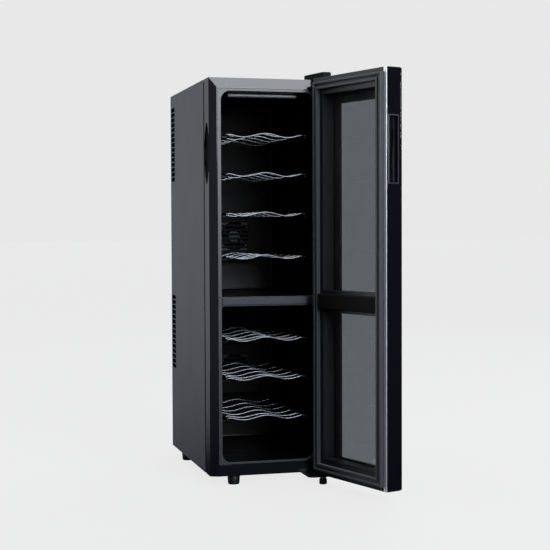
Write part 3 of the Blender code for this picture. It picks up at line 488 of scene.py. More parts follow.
# %% Float glass, clear and smoked
def float_glass(name, tint):
    finish = Finish(name, tint, 0.02, ior=1.52)
    finish.set("Transmission Weight", 1.0)
    finish.gloss(finish.noise(60, 5.0), 0.0, 0.02, start=0.45)
    return finish.material


SMOKED = float_glass("float_glass_smoked", "#7b7d82")
CLEAR = float_glass("float_glass_clear", "#f2f6f5")

# %% [markdown]
# ## Hidden and small materials
#
# Behind the panels are poured foam, a ceramic cooling tile, circuit boards and fans. They show
# through the louvres and when a panel is off, so each still gets its own surface: foam has cells,
# ceramic a dry matt skin, a board its green lacquer over copper tracks. The matt black plastic is
# for what should catch no light at all: the finger scoop, the hinge cover and the fan covers. On the
# finger scoop it is darker than the gloss moulding around it, which is painted shade in the recess.

# %% Foam, ceramic, nylon and polycarbonate
def small_material(name, dark, light, rough, grain_mm, depth, ior=1.5, cells=False, shine=0.5):
    finish = Finish(name, dark, rough, ior=ior, shine=shine)
    grain = finish.cells(grain_mm) if cells else finish.noise(grain_mm, 4.0)
    finish.tint(grain, dark, light)
    finish.gloss(grain, rough - 0.05, rough + 0.05)
    finish.relief(grain, depth, 0.0003)
    return finish.material


FOAM = small_material("polyurethane_foam_poured", "#b89a5c", "#e6d3a0", 0.85, 1.5, 0.6, cells=True)
CERAMIC = small_material("alumina_ceramic_sintered", "#d9d8d0", "#eceae4", 0.55, 2.0, 0.1, 1.77)
NYLON = small_material("nylon_moulded", "#d5d5cf", "#e6e6e1", 0.42, 8.0, 0.08, 1.53)
LAMP_COVER = small_material("polycarbonate_smoked", "#7a7e84", "#888c92", 0.34, 10.0, 0.05, 1.58)
# real black for covers, the mullion seal and the cup's rib; on the finger scoop this darker black is
# painted shade
MATT_BLACK_AND_SHADE = small_material("plastic_black_matt_and_painted_shade", "#040405", "#060607", 0.8, 1.2, 0.1, shine=0.2)
FRIT = small_material("glass_enamel_screen_printed", "#0b0b0d", "#111114", 0.34, 0.7, 0.06)
SLEEVE = small_material("capacitor_sleeve_shrunk", "#161a2b", "#1f2540", 0.3, 6.0, 0.05)
TAPE = small_material("polyester_tape_wound", "#b59a2c", "#cdb243", 0.35, 4.0, 0.1)
READOUT = small_material("display_window_acrylic", "#100e10", "#171416", 0.12, 20.0, 0.02)
SEGMENT = small_material("display_segment_unlit", "#3a2b2b", "#443434", 0.3, 5.0, 0.02)

# %% [markdown]
# A circuit board is glass fibre with a green solder resist over copper. The tracks run square to
# the board's edges, so a brick pattern with thin mortar is a fair stand-in: the lighter lines are
# lacquer lying on copper.

# %% Circuit board, lacquered
lacquered = Finish("circuit_board_lacquered", "#123c22", 0.32, ior=1.55)
upright = add(lacquered.tree, "Mapping", {"Vector": lacquered.spot, "Rotation": (radians(90), 0, 0)})
tracks = add(lacquered.tree, "TexBrick", {
    "Vector": upright.outputs["Vector"], "Color1": linear("#0f3a20"), "Color2": linear("#154628"),
    "Mortar": linear("#2d6a3c"), "Scale": 120.0, "Mortar Size": 0.03})
lacquered.feed("Base Color", tracks.outputs["Color"])
lacquered.relief(tracks.outputs["Fac"], 0.2, 0.0001)
BOARD = lacquered.material
print("finishes made:", len(bpy.data.materials))

# %% [markdown]
# ## The front moulding
#
# One ABS moulding frames both tubs. Its face slopes gently back from the opening to the outer edge
# at the sides and top, with a mitre at each corner, and stays flat along the bottom. It is drawn as
# rings from the outer back edge, round the face, into the opening and back again. A long shallow
# scoop in its left side gives fingers a place to start the door. It is cut with a stretched ball,
# and its faces are found again by their distance from the ball's middle, to be made matt and a
# darker black than the rest of the moulding; that darker black is painted shade in the recess.

# %% Front moulding with its finger scoop
SIDE_BAND = 0.020
BOTTOM_BAND = 0.027
TOP_BAND = 0.0245
FACE_SLOPE = 0.006
FACE_RIM = 0.0012
MOULDING_DEPTH = 0.050
TONGUE_INSET = 0.005
OPENING_RADIUS = 0.002
CORNER_RADIUS = 0.0006
EDGE = 0.0007
tongue_back = far_corner.y - corner.y


def opening(inset=0.0):
    low = (SIDE_BAND + inset, BOTTOM_BAND + inset)
    high = (WIDTH - SIDE_BAND - inset, HEIGHT - TOP_BAND - inset)
    return rounded(low, high, (OPENING_RADIUS - inset,) * 4, 12)


def outside(inset):
    return rounded((inset, inset), (WIDTH - inset, HEIGHT - inset), (CORNER_RADIUS,) * 4, 12)


def face_rim():
    """Where the slope starts: in from the top and sides, but right at the bottom edge."""
    side, over = SIDE_BAND - FACE_RIM, TOP_BAND - FACE_RIM
    return rounded((side, 0.0), (WIDTH - side, HEIGHT - over), (CORNER_RADIUS,) * 4, 12)


moulding_rings = [flat_ring(outline, level) for outline, level in (
    (outside(0.0), MOULDING_DEPTH), (outside(0.0), FACE_SLOPE + EDGE), (outside(EDGE * 0.4), FACE_SLOPE),
    (face_rim(), 0.0), (opening(-EDGE * 0.5), 0.0), (opening(), EDGE * 0.5), (opening(), tongue_back),
    (outside(TONGUE_INSET), tongue_back), (outside(TONGUE_INSET), MOULDING_DEPTH))]
front_moulding = to_object("front_moulding", skin(moulding_rings, closed=True))

SCOOP_CENTRE = (0.0, 0.026, 0.755)
SCOOP_SIZE = (0.020, 0.050, 0.144)
ON_BALL = 1.02  # a carved face's centre lies just inside the ball
SIDE_FACE = 0.0004
ball = bmesh.new()
ball_place = Matrix.Translation(SCOOP_CENTRE) @ Matrix.Diagonal((*[s / 2 for s in SCOOP_SIZE], 1))
bmesh.ops.create_uvsphere(ball, u_segments=48, v_segments=32, radius=1, matrix=ball_place)
carve(front_moulding, to_object("scoop", ball))
# the carved faces take the darker matt black: painted shade in the scoop
for face in front_moulding.data.polygons:
    offset = [(c - m) / (size / 2) for c, m, size in zip(face.center, SCOOP_CENTRE, SCOOP_SIZE)]
    carved = sum(v * v for v in offset) < ON_BALL and face.center.x > SIDE_FACE
    face.material_index = 1 if carved else 0
place(front_moulding, "cabinet", [GLOSS, MATT_BLACK_AND_SHADE], ["front_frame"], angle=10)

# %% [markdown]
# ## The two tubs
#
# Each tub is one vacuum-formed skin, open in front, with a flat satin lip that catches the light as
# a thin line round the opening. The lamps and the lip's stronger shine draw that line, and the lip's
# colour, lighter than the rest of the skin, adds painted highlight to it. Where the two lips meet,
# tabs carry the line past the divider.
# Ledges down both side walls hold the shelves. The tub is lofted from the back of its outer skin,
# round the lip and down the inside to the back wall. The port for the cold block is cut through the
# back wall.

# %% Tubs with lips, ledges and ports
LIP_SIDE = 0.0087
LIP_TOP = 0.0062
LIP_BOTTOM = 0.0047
LIP_RADIUS = 0.0017
TUB_WALL = 0.002
TUB_FRONT = 0.0004
LIP_BACK = 0.003
TUB_DEPTH = 0.375
CAVITY_SIDE = 0.029
DIVIDER_MIDDLE = 0.409
TUB_RADIUS = 0.022
TIGHT_RADIUS = 0.004
FILLET = 0.004
ZONES = {"upper": (0.420, HEIGHT - 0.031), "lower": (0.032, 0.398)}
LEDGE_FRONT = 0.012
LEDGE_THICK = 0.006
LEDGE_REACH = 0.048
LEDGE_ROOT = 0.001
LEDGE_ROUND = 0.0012
LEDGE_GAP = 0.0003
PORT_HALF = 0.0223
PORT_REACH = 0.01
RAIL_RADIUS = 0.0024
WIRE_RADIUS = 0.0020
WAVE_DROP = 0.009
shelf_names = sorted(n for n in nodes if "_shelf_" in n)
wire_top = {n: cabinet_box(n)[1].z - WIRE_RADIUS for n in shelf_names}


def tub(zone):
    floor, ceiling = ZONES[zone]
    small, big = TIGHT_RADIUS, TUB_RADIUS
    radii = (small, small, big, big) if zone == "upper" else (big, big, small, small)

    def ring(grow, level):
        """The cavity's outline, grown outwards by the thickness of the skin or drawn in."""
        low, high = (CAVITY_SIDE - grow, floor - grow), (WIDTH - CAVITY_SIDE + grow, ceiling + grow)
        return flat_ring(rounded(low, high, [max(r + grow, 0.001) for r in radii], 12), level)

    def lip_ring(inset, level):
        top = LIP_TOP if zone == "upper" else TUB_WALL
        bottom = LIP_BOTTOM if zone == "lower" else TUB_WALL
        low = (CAVITY_SIDE - LIP_SIDE + inset, floor - bottom + inset)
        high = (WIDTH - CAVITY_SIDE + LIP_SIDE - inset, ceiling + top - inset)
        return flat_ring(rounded(low, high, (LIP_RADIUS,) * 4, 12), level)

    shell = skin([
        ring(TUB_WALL, TUB_DEPTH + TUB_WALL), ring(TUB_WALL, LIP_BACK), lip_ring(0.0, LIP_BACK),
        lip_ring(0.0, TUB_FRONT + EDGE / 2), lip_ring(EDGE / 2, TUB_FRONT), ring(EDGE, TUB_FRONT),
        ring(0.0, TUB_FRONT + EDGE), ring(0.0, TUB_DEPTH - FILLET),
        ring(-FILLET * 0.3, TUB_DEPTH - FILLET * 0.3), ring(-FILLET, TUB_DEPTH),
    ])
    piece = to_object(f"{zone}_tub", shell)
    port_z = sum(cabinet_box(f"{zone}_cold_sink"), Vector()).z / 2
    port = slab((MIDDLE, TUB_DEPTH, port_z), (2 * PORT_HALF, 2 * PORT_REACH, 2 * PORT_HALF), FINE_EDGE)
    carve(piece, to_object("port", port))
    # the front faces are the lip: a lighter copy of the skin, painted highlight
    for face in piece.data.polygons:
        face.material_index = 1 if face.center.y < TUB_FRONT + EDGE * 0.9 else 0
    whole = bmesh.new()
    whole.from_mesh(piece.data)
    tab_low, tab_high = (DIVIDER_MIDDLE, floor) if zone == "upper" else (ceiling, DIVIDER_MIDDLE)
    wall_left, wall_right = CAVITY_SIDE, WIDTH - CAVITY_SIDE
    for left, right in ((wall_left - LIP_SIDE, wall_left), (wall_right, wall_right + LIP_SIDE)):
        gather(whole, [(brick((left, TUB_FRONT, tab_low), (right, LIP_BACK, tab_high), EDGE / 2), 1)])
    for name in [n for n in shelf_names if n.startswith(zone)]:
        top = wire_top[name] - WAVE_DROP / 2 - RAIL_RADIUS - LEDGE_GAP
        for left, right in ((wall_left - LEDGE_ROOT, LEDGE_REACH),
                            (WIDTH - LEDGE_REACH, wall_right + LEDGE_ROOT)):
            gather(whole, [(brick((left, LEDGE_FRONT, top - LEDGE_THICK),
                                  (right, TUB_DEPTH + LEDGE_ROOT, top), LEDGE_ROUND), 0)])
    whole.to_mesh(piece.data)
    whole.free()
    place(piece, "cabinet", [LINER, LIP], [f"{zone}_liner"])


for zone in ZONES:
    tub(zone)

# %% [markdown]
# ## Wire shelves
#
# A shelf is two straight side rails with wavy cross wires welded on top, so that each wave holds a
# bottle. A wire is a small circle swept along a path. Fourteen sides are enough for a 4 mm wire to
# look round, and a rounded nose closes each end as a cropped and plated wire has.

# %% Swept wires
SHELF_HALF = 0.098
BOTTLE_PITCH = 0.107
WIRE_EASE = 0.012
NOSE = ((0.35, 0.0), (0.8, 0.4), (1.0, 0.9))  # share of the radius, and how far in, in radii
CROSS_WIRES = (  # distance behind the shelf's front, and share of the full wave
    (0.004, 1.0), (0.034, 0.8), (0.095, 1.0), (0.160, 1.0), (0.225, 1.0), (0.306, 1.0))


def wire(path, radius, sides=14):
    """A round wire through the points of a path, with rounded ends."""
    rings = []
    last = len(path) - 1
    for i, here in enumerate(path):
        along = (Vector(path[min(i + 1, last)]) - Vector(path[max(i - 1, 0)])).normalized()
        side = along.cross(Vector((0, 0, 1))).normalized()
        up = side.cross(along)
        turns = [tau * k / sides for k in range(sides)]
        loop = [side * cos(a) + up * sin(a) for a in turns]
        stations = [(1.0, 0.0)]
        if i == 0:
            stations = NOSE
        elif i == last:
            stations = [(share, -reach) for share, reach in reversed(NOSE)]
        for share, reach in stations:
            rings.append([Vector(here) + along * reach * radius + p * radius * share for p in loop])
    return skin(rings)


def wave_height(x, crest, drop):
    """Height of a cross wire at x from the middle: a crest there, a dip for each bottle."""
    rail = crest - WAVE_DROP / 2
    height = crest - drop / 2 * (1 - cos(tau * x / BOTTLE_PITCH))
    share = min(1.0, (SHELF_HALF - RAIL_RADIUS - abs(x)) / WIRE_EASE)
    share = share * share * (3 - 2 * share)
    return rail + (height - rail) * share


# %% Shelves from rails and cross wires
def shelf(name):
    low, high = cabinet_box(name)
    crest = wire_top[name]
    start = low.y
    length = high.y - low.y
    half = SHELF_HALF - RAIL_RADIUS
    rail_z = crest - WAVE_DROP / 2
    parts = []
    for side in (-1, 1):
        x = MIDDLE + side * half
        stations = [start + length * i / 6 for i in range(7)]
        parts.append((wire([(x, y, rail_z) for y in stations], RAIL_RADIUS), 0))
    for behind, share in CROSS_WIRES:
        path = []
        for i in range(49):
            x = -half + 2 * half * i / 48
            path.append((MIDDLE + x, start + behind, wave_height(x, crest, WAVE_DROP * share)))
        parts.append((wire(path, WIRE_RADIUS), 0))
    body = nodes[name]["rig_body"]
    place(merged(name + "_wires", parts), body, [CHROME], [name], angle=50)


for name in shelf_names:
    shelf(name)

# %% [markdown]
# ## Gasket and sealing bar
#
# The door seal is a hollow PVC section with a magnet inside and pleats that let it give. Its rings
# here are the four mitred corners of a rectangle, with the section's points measured in from the
# edge and forward from the door. Across the mullion lies a flat bar of the same PVC.

# %% Mitred frame from a section
DOOR_FACE = -0.010
DOOR_FRONT = -0.054
DOOR_LOW = 0.0015
DOOR_HIGH = HEIGHT - 0.00075


def mitred(low, high, section):
    """A closed frame: the section's (inset, y) points swept round a rectangle with mitred corners."""
    rings = []
    for inset_x, inset_z in ((1, 1), (-1, 1), (-1, -1), (1, -1)):
        base_x = low[0] if inset_x > 0 else high[0]
        base_z = low[1] if inset_z > 0 else high[1]
        rings.append([Vector((base_x + inset_x * a, y, base_z + inset_z * a)) for a, y in section])
    return skin(rings, closed=True)


gasket_section = [
    (0.0003, -0.0097), (0.0000, -0.0088), (0.0011, -0.0074), (0.0002, -0.0060), (0.0000, -0.0022),
    (0.0003, -0.0010), (0.0011, -0.0005), (0.0050, -0.0005), (0.0057, -0.0010), (0.0060, -0.0022),
    (0.0060, -0.0048), (0.0071, -0.0044), (0.0081, -0.0048), (0.0090, -0.0044), (0.0099, -0.0048),
    (0.0109, -0.0044), (0.0120, -0.0048),
    (0.0120, -0.0022), (0.0123, -0.0010), (0.0130, -0.0005), (0.0170, -0.0005), (0.0177, -0.0010),
    (0.0180, -0.0022), (0.0178, -0.0060), (0.0169, -0.0074), (0.0180, -0.0088), (0.0177, -0.0097),
]
SEAL_EDGE = 0.010
seal = to_object("door_seal", mitred((SEAL_EDGE, DOOR_LOW + SEAL_EDGE),
                                     (WIDTH - SEAL_EDGE, DOOR_HIGH - SEAL_EDGE), gasket_section))
place(seal, "door", [GASKET], ["door_gasket"], angle=40)
softened("mullion_gasket", 0.0012, MATT_BLACK_AND_SHADE, 3)

# %% [markdown]
# ## The door's frames
#
# The outer frame is a glossy moulding that wraps the edges of the glass. It is the same mitred
# sweep, with rounded outer edges, and it is cut for the handle cup and the two hinge bushes. The
# inner frame is a satin moulding with a window for each zone.

# %% Outer frame, cut for cup and bushes
RIM = 0.0107
RIM_BACK = -0.0120
RIM_FRONT = -0.0497
ROUND = 0.0015
NEAR = ROUND * 0.3  # where the middle of a rounding lies
BUSH_BORE = 0.0053
outer_section = [
    (RIM, RIM_BACK), (ROUND, RIM_BACK), (NEAR, RIM_BACK - NEAR), (0.0, RIM_BACK - ROUND),
    (0.0, RIM_FRONT + ROUND), (NEAR, RIM_FRONT + NEAR), (ROUND, RIM_FRONT), (RIM, RIM_FRONT),
]
outer_frame = to_object("door_edge_moulding", mitred((0.0, DOOR_LOW), (WIDTH, DOOR_HIGH), outer_section))
CUP_LOW, CUP_HIGH = 0.675, 0.827
cup_back = DOOR_FACE - 0.0048
cup_front = cup_back - 0.030
cup_hole = brick((-0.01, cup_front, CUP_LOW), (0.02, cup_back, CUP_HIGH), FINE_EDGE)
carve(outer_frame, to_object("cup_hole", cup_hole))
for z in (DOOR_LOW, DOOR_HIGH):
    bore = turned([(BUSH_BORE, z - 0.02), (BUSH_BORE, z + 0.02)], hinge_local, 32)
    carve(outer_frame, to_object("bush_hole", bore))
place(outer_frame, "door", [GLOSS], ["door_outer_frame"])
softened("door_inner_frame", 0.0010, SATIN, 3)

# %% [markdown]
# ## The handle cup and the edge strip
#
# There is no handle that sticks out. Fingers go into a cup in the door's free edge, which has a
# thin rounded rim and a rib that leans a little. Next to it runs the brushed aluminium strip that
# finishes the door's inner edge from top to bottom.

# %% Handle cup with rim and rib
CUP_FIT = 0.0003
CUP_ROUND = 0.0045
cup_low = (cup_front + CUP_FIT, CUP_LOW + CUP_FIT)
cup_high = (cup_back - CUP_FIT, CUP_HIGH - CUP_FIT)


def cup_ring(inset, level, square=False):
    radius = 0.0002 if square else max(CUP_ROUND - inset, 0.001)
    low = (cup_low[0] + inset, cup_low[1] + inset)
    high = (cup_high[0] - inset, cup_high[1] - inset)
    return flat_ring(rounded(low, high, (radius,) * 4, 6), level, "X")


cup = skin([
    cup_ring(0.0, RIM - CUP_FIT, True), cup_ring(0.0, 0.0, True), cup_ring(0.0003, -0.0006),
    cup_ring(0.0026, -0.0006), cup_ring(0.0030, 0.0002), cup_ring(0.0032, 0.0070),
    cup_ring(0.0045, RIM - 0.0022),
])
RIB_SIZE = (0.0020, 0.0090, 0.090)
RIB_LEAN = radians(4)
rib = slab((0, 0, 0), RIB_SIZE, 0.0006)
rib.transform(Matrix.Translation((0.0060, (cup_back + cup_front) / 2, (CUP_LOW + CUP_HIGH) / 2))
              @ Matrix.Rotation(RIB_LEAN, 4, "X") @ Matrix.Rotation(radians(90), 4, "Z"))
handle_cup = merged("handle_cup", [(cup, 0), (rib, 2)])
for face in handle_cup.data.polygons:  # the raised rim is what stands proud and faces outwards
    if face.center.x < CUP_FIT and abs(face.normal.x) > 0.2:
        face.material_index = 1
place(handle_cup, "door", [GLOSS, BEZEL, MATT_BLACK_AND_SHADE], ["door_handle_pocket"])
softened("door_edge_trim", 0.0005, BRUSHED, 3)

# %% [markdown]
# ## Glazing
#
# Two panes sit apart with a black printed border between them, and the outer one covers the whole
# front of the door. A sawn glass edge is ground and polished to a small flat called an arris, so
# the panes get narrow bevels that stay crisp.

# %% Panes, border and bushes
softened("door_front_glass", 0.0005, SMOKED, 1)
softened("door_inner_glass", 0.0005, CLEAR, 1)
softened("glass_border", 0.0004, FRIT, 1)
for name in ("door_bush_top", "door_bush_bottom"):
    softened(name, 0.0003, NYLON)

# %% [markdown]
# ## Control board
#
# The temperature controls sit in the mullion behind the front glass: a small board with a dark
# readout for each zone. Switched off, the segments of the digits are only just visible.

# %% Readouts with unlit digits
BOARD_Z = 0.410
BOARD_FRONT = DOOR_FRONT + 0.004 + 0.0003
BOARD_SIZE = (0.100, 0.0016, 0.034)
WINDOW_SIZE = (0.022, 0.0006, 0.016)
WINDOW_X, DIGIT_X = 0.026, 0.0045
DIGIT_HEIGHT, DIGIT_WIDTH, BAR, BAR_DEEP = 0.0100, 0.0056, 0.0011, 0.0004
KEY_RADIUS = 0.0022


def digit(x, z, y):
    """Seven bars that can show any number, all unlit."""
    long, tall = (DIGIT_WIDTH - 2 * BAR, BAR_DEEP, BAR), (BAR, BAR_DEEP, DIGIT_HEIGHT / 2 - 1.2 * BAR)
    level = [slab((x, y, z + s * DIGIT_HEIGHT / 2), long, 0.00012) for s in (-1, 0, 1)]
    upright = [slab((x + s * DIGIT_WIDTH / 2, y, z + t * DIGIT_HEIGHT / 4), tall, 0.00012)
               for s in (-1, 1) for t in (-1, 1)]
    return level + upright


control_parts = [(slab((MIDDLE, BOARD_FRONT + 0.0014, BOARD_Z), BOARD_SIZE, FINE_EDGE), 0)]
for centre in (MIDDLE - WINDOW_X, MIDDLE + WINDOW_X):
    control_parts.append((slab((centre, BOARD_FRONT + 0.0006, BOARD_Z), WINDOW_SIZE, FINE_EDGE), 1))
    for offset in (-DIGIT_X, DIGIT_X):
        control_parts += [(bars, 2) for bars in digit(centre + offset, BOARD_Z, BOARD_FRONT + 0.0003)]
for offset in (-0.008, 0.0, 0.008):
    key = [(KEY_RADIUS, BOARD_FRONT + rise) for rise in (0.0008, 0.0002)]
    control_parts.append((turned(key, (MIDDLE + offset, BOARD_Z), 20, "Y"), 1))
control = merged("control_panel", control_parts)
place(control, "door", [BOARD, READOUT, SEGMENT], ["control_board"])

# %% [markdown]
# ## Hinge cover, plates and pins
#
# A matt black cap with a rounded top hides the top hinge. It is lofted from the ceiling of its
# hollow, down and out round the rim, and over the rounded top. The steel plates and pins keep their
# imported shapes, with their punched edges eased.

# %% Hinge cover
cover_low, cover_high = cabinet_box("top_hinge_cover")
COVER_RADII = (0.010, 0.010, 0.005, 0.005)
COVER_SLANT = 0.0195
COVER_WALL = 0.002
COVER_EASE = 0.0028


def cover_ring(inset, level):
    """The cover's outline: a rounded box whose left side slants in towards the front."""
    low = (cover_low.x + inset, cover_low.y + inset)
    high = (cover_high.x - inset, cover_high.y - inset)
    slanted = []
    for x, y in rounded(low, high, [max(r - inset, 0.001) for r in COVER_RADII], 8):
        share = (high[1] - y) / (high[1] - low[1]) * (high[0] - x) / (high[0] - low[0])
        slanted.append((x + COVER_SLANT * share, y))
    return flat_ring(slanted, level, "Z")


cover_rings = [cover_ring(COVER_WALL, cover_high.z - COVER_WALL), cover_ring(COVER_WALL, cover_low.z),
               cover_ring(0.0003, cover_low.z), cover_ring(0.0, cover_low.z + 0.0003)]
for i in range(7):
    turn = radians(15 * i)
    inset, drop = COVER_EASE * (1 - cos(turn)), COVER_EASE * (1 - sin(turn))
    cover_rings.append(cover_ring(inset, cover_high.z - drop))
hinge_cover = to_object("hinge_cover", skin(cover_rings))
place(hinge_cover, "cabinet", [MATT_BLACK_AND_SHADE], ["top_hinge_cover"])

for piece_name, plate in (("hinge_bracket", PLATED), ("hinge_pin", ZINC)):
    for end in ("top", "bottom"):
        softened(f"{end}_{piece_name}", 0.0004, plate)

# %% [markdown]
# ## Feet
#
# Three feet are plain tapered stubs, turned here from a profile, with a soft pad ring at the floor.
# The fourth, under the hinge, screws up and down to level the cooler. It has a knurled grip, a
# threaded stud, and a hexagon nut whose corners are chamfered as a turned nut's are.

# %% Turned feet
FOOT_TOP = -0.0003
floor_z = -corner.z
foot_profile = [(radius, floor_z + rise) for radius, rise in (
    (0.0105, 0.0), (0.0122, 0.0003), (0.0133, 0.0014), (0.0136, 0.0030), (0.0131, 0.0034),
    (0.0131, 0.0042), (0.0138, 0.0046))]
foot_profile += [(0.0149, FOOT_TOP - 0.0010), (0.0146, FOOT_TOP - 0.0003), (0.0140, FOOT_TOP)]
for name in ("foot_front_left", "foot_rear_left", "foot_rear_right"):
    low, high = cabinet_box(name)
    middle = (low + high) / 2
    foot = to_object(name + "_turned", turned(foot_profile, middle, 40))
    place(foot, "cabinet", [SATIN], [name])

# %% Levelling foot and its nut
low, high = cabinet_box("foot_front_right")
middle = (low + high) / 2
top = high.z
pad_top = floor_z + 0.013
profile = [(0.0074, floor_z), (0.0086, floor_z + 0.0006), (0.0090, floor_z + 0.0016),
           (0.0090, pad_top - 0.0014), (0.0084, pad_top - 0.0004), (0.0074, pad_top), (0.0040, pad_top)]
PITCH = 0.001  # of the thread
z = pad_top
while z + PITCH < top:
    profile += [(0.0035, z + PITCH * 0.25), (0.0040, z + PITCH * 0.75)]
    z += PITCH
profile.append((0.0034, top))
leveller = to_object("levelling_foot_turned", turned(profile, middle, 72, "Z", 0.00035, 18))
foot_body = nodes["foot_front_right"]["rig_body"]
place(leveller, foot_body, [SATIN], ["foot_front_right"])

nut_low, nut_high = (end.z for end in cabinet_box("leveller_nut"))


def hexagon(flat_half, cap):
    """Hexagon outline in 48 points, cut off at the cap radius for the chamfer."""
    points = []
    for i in range(48):
        turn = tau * i / 48
        flat = (turn + radians(30)) % radians(60) - radians(30)
        reach = min(flat_half / cos(flat), cap)
        points.append((middle.x + reach * cos(turn), middle.y + reach * sin(turn)))
    return points


FLAT_HALF = 0.0065
NUT_BORE = 0.0043
CHAMFER = 0.0005
NUT_CAPS = (0.0066, 0.0075)
nut_rings = [flat_ring(circle(middle, NUT_BORE, 48), nut_low, "Z")]
for cap, z in ((NUT_CAPS[0], nut_low), (NUT_CAPS[1], nut_low + CHAMFER),
               (NUT_CAPS[1], nut_high - CHAMFER), (NUT_CAPS[0], nut_high)):
    nut_rings.append(flat_ring(hexagon(FLAT_HALF, cap), z, "Z"))
nut_rings.append(flat_ring(circle(middle, NUT_BORE, 48), nut_high, "Z"))
nut = to_object("levelling_nut", skin(nut_rings, closed=True))
place(nut, "cabinet", [ZINC], ["leveller_nut"])
print("levelling foot height:", round(top - floor_z, 4))

# %% [markdown]
# ## Sheet panels, divider and lamp
#
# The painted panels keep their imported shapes, because folded and punched sheet really is that
# plain. Only their cut edges are eased, by less than the sheet's own thickness. The divider's front
# strip and the lamp's smoked cover are small mouldings with softer edges.

# %% Panels and small mouldings
for name in ("side_panel_left", "side_panel_right", "top_panel", "base_panel", "rear_cover"):
    softened(name, 0.00035, PAINT)
softened("divider_strip", 0.0012, GRAPHITE, 3)
softened("lamp_cover", 0.0008, LAMP_COVER, 3)
softened("power_inlet", 0.0004, SATIN)

# %% [markdown]
# ## Screws
#
# Pan-head screws hold the rear cover, and their heads are the only thing that breaks up the plain
# back. Each head is turned from a low dome, and a cross is cut into it.

# %% Rear cover screws
SCREW_HEAD = 0.0038
SCREW_END, SCREW_SIDE = 0.016, 0.014
CROSS_LONG, CROSS_WIDE = 0.0021, 0.0004
screw_y = cabinet_box("rear_cover")[1].y
screw_heights = (SCREW_END, HEIGHT / 3, HEIGHT * 2 / 3, HEIGHT - SCREW_END)
screw_spots = [(x, z) for z in screw_heights for x in (SCREW_SIDE, WIDTH - SCREW_SIDE)]
screw_parts = []
HEAD = ((1.0, 0.0), (1.0, 0.0006), (0.86, 0.0012), (0.55, 0.0016), (0.2, 0.0017))
for spot in screw_spots:
    profile = [(SCREW_HEAD * share, screw_y + rise) for share, rise in HEAD]
    screw_parts.append((turned(profile, spot, axis="Y"), 0))
screws = merged("rear_cover_screws", screw_parts)
for x, z in screw_spots:
    for wide, tall in ((CROSS_LONG, CROSS_WIDE), (CROSS_WIDE, CROSS_LONG)):
        low, high = (x - wide, screw_y + 0.0009, z - tall), (x + wide, screw_y + 0.003, z + tall)
        carve(screws, to_object("cross", brick(low, high, 0.00005)))
place(screws, "cabinet", [ZINC])
print("rear cover screws:", len(screw_spots))

# %% [markdown]
# ## Cooling parts
#
# Each zone is cooled by a ceramic tile with a finned sink on each face and a fan on each sink. The
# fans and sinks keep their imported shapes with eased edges; the inner fan shows through the slots of
# its cover, and the outer one through the louvres in the back.

# %% Sinks, fans and covers
for zone in ZONES:
    softened(f"{zone}_cold_sink", 0.0002, ANODISED, 1)
    softened(f"{zone}_hot_sink", 0.0002, EXTRUDED, 1)
    softened(f"{zone}_peltier_module", 0.0003, CERAMIC)
    softened(f"{zone}_fan_cover", 0.0006, MATT_BLACK_AND_SHADE)
    for side in ("inner", "outer"):
        softened(f"{zone}_{side}_fan_housing", 0.0004, SATIN)
        softened(f"{zone}_{side}_fan_rotor", 0.0002, SATIN, 1)
softened("foam_insulation", 0.0008, FOAM, 1)

# %% [markdown]
# ## Boards
#
# The power board carries a ferrite transformer wound with yellow tape, electrolytic capacitors in
# shrunk sleeves, a relay and a terminal block. They are simple turned and block shapes, but in the
# right materials they read at once as electronics. The lamp's board is a strip of white LEDs.

# %% Power board with its components
low, high = cabinet_box("power_board")
BOARD_THICK = 0.0016
FACE_OFFSET = 0.0054
board_z = (low.z + high.z) / 2
face_y = low.y + FACE_OFFSET
power_parts = [(brick((low.x, face_y - BOARD_THICK, low.z), (high.x, face_y, high.z), 0.0003), 0)]
BLOCKS = (  # right of the middle, above it, width, height, depth: transformer, relay, terminals
    (-0.030, 0.010, 0.034, 0.040, 0.026),
    (0.040, -0.012, 0.012, 0.028, 0.012),
    (0.010, -0.018, 0.026, 0.014, 0.016))
for dx, dz, wide, tall, deep in BLOCKS:
    centre = (MIDDLE + dx, face_y + deep / 2, board_z + dz)
    power_parts.append((slab(centre, (wide, deep, tall), 0.0008), 1))
TAPE_SHARE, TAPE_THICK = 0.64, 0.0006
dx, dz, wide, tall, deep = BLOCKS[0]
centre = (MIDDLE + dx, face_y + deep / 2 + 2 * TAPE_THICK, board_z + dz)
tape_size = (wide * TAPE_SHARE, deep - 0.0016, tall + 2 * TAPE_THICK)
power_parts.append((slab(centre, tape_size, 0.0008), 3))
CAPACITORS = ((0.016, 0.020, 0.009, 0.022), (0.040, 0.022, 0.0065, 0.018), (-0.004, 0.030, 0.005, 0.012))
CAN = ((1.0, 0.0), (1.0, 0.96), (0.92, 1.0), (0.75, 1.0), (0.7, 0.985))
for dx, dz, radius, deep in CAPACITORS:
    profile = [(radius * share, face_y + deep * reach) for share, reach in CAN]
    power_parts.append((turned(profile, (MIDDLE + dx, board_z + dz), axis="Y"), 2))
power = merged("power_electronics", power_parts)
place(power, "cabinet", [BOARD, SATIN, SLEEVE, TAPE], ["power_board"])

# %% LED strip under the lamp cover
low, high = cabinet_box("lamp_board")
LEDS = 12
LED_SIZE = (0.0034, 0.0028, 0.0007)
LED_RISE = 0.0003
strip_parts = [(brick((low.x, low.y, low.z + LED_RISE), tuple(high), FINE_EDGE), 0)]
for i in range(LEDS):
    x = low.x + (i + 0.5) * (high.x - low.x) / LEDS
    centre = (x, (low.y + high.y) / 2, low.z - LED_RISE + LED_SIZE[2] / 2)
    strip_parts.append((slab(centre, LED_SIZE, 0.0001), 1))
strip = merged("lamp_strip", strip_parts)
place(strip, "cabinet", [BOARD, NYLON], ["lamp_board"])
shown = [n for n, o in nodes.items() if not o.hide_render]
print("packed pieces still showing as they were:", shown)

# %% [markdown]
# ## Camera
#
# The camera stands a little to the left of the cooler, just above its middle, about three metres
# off, with an 86 mm lens. A long lens from that far keeps the uprights nearly parallel.

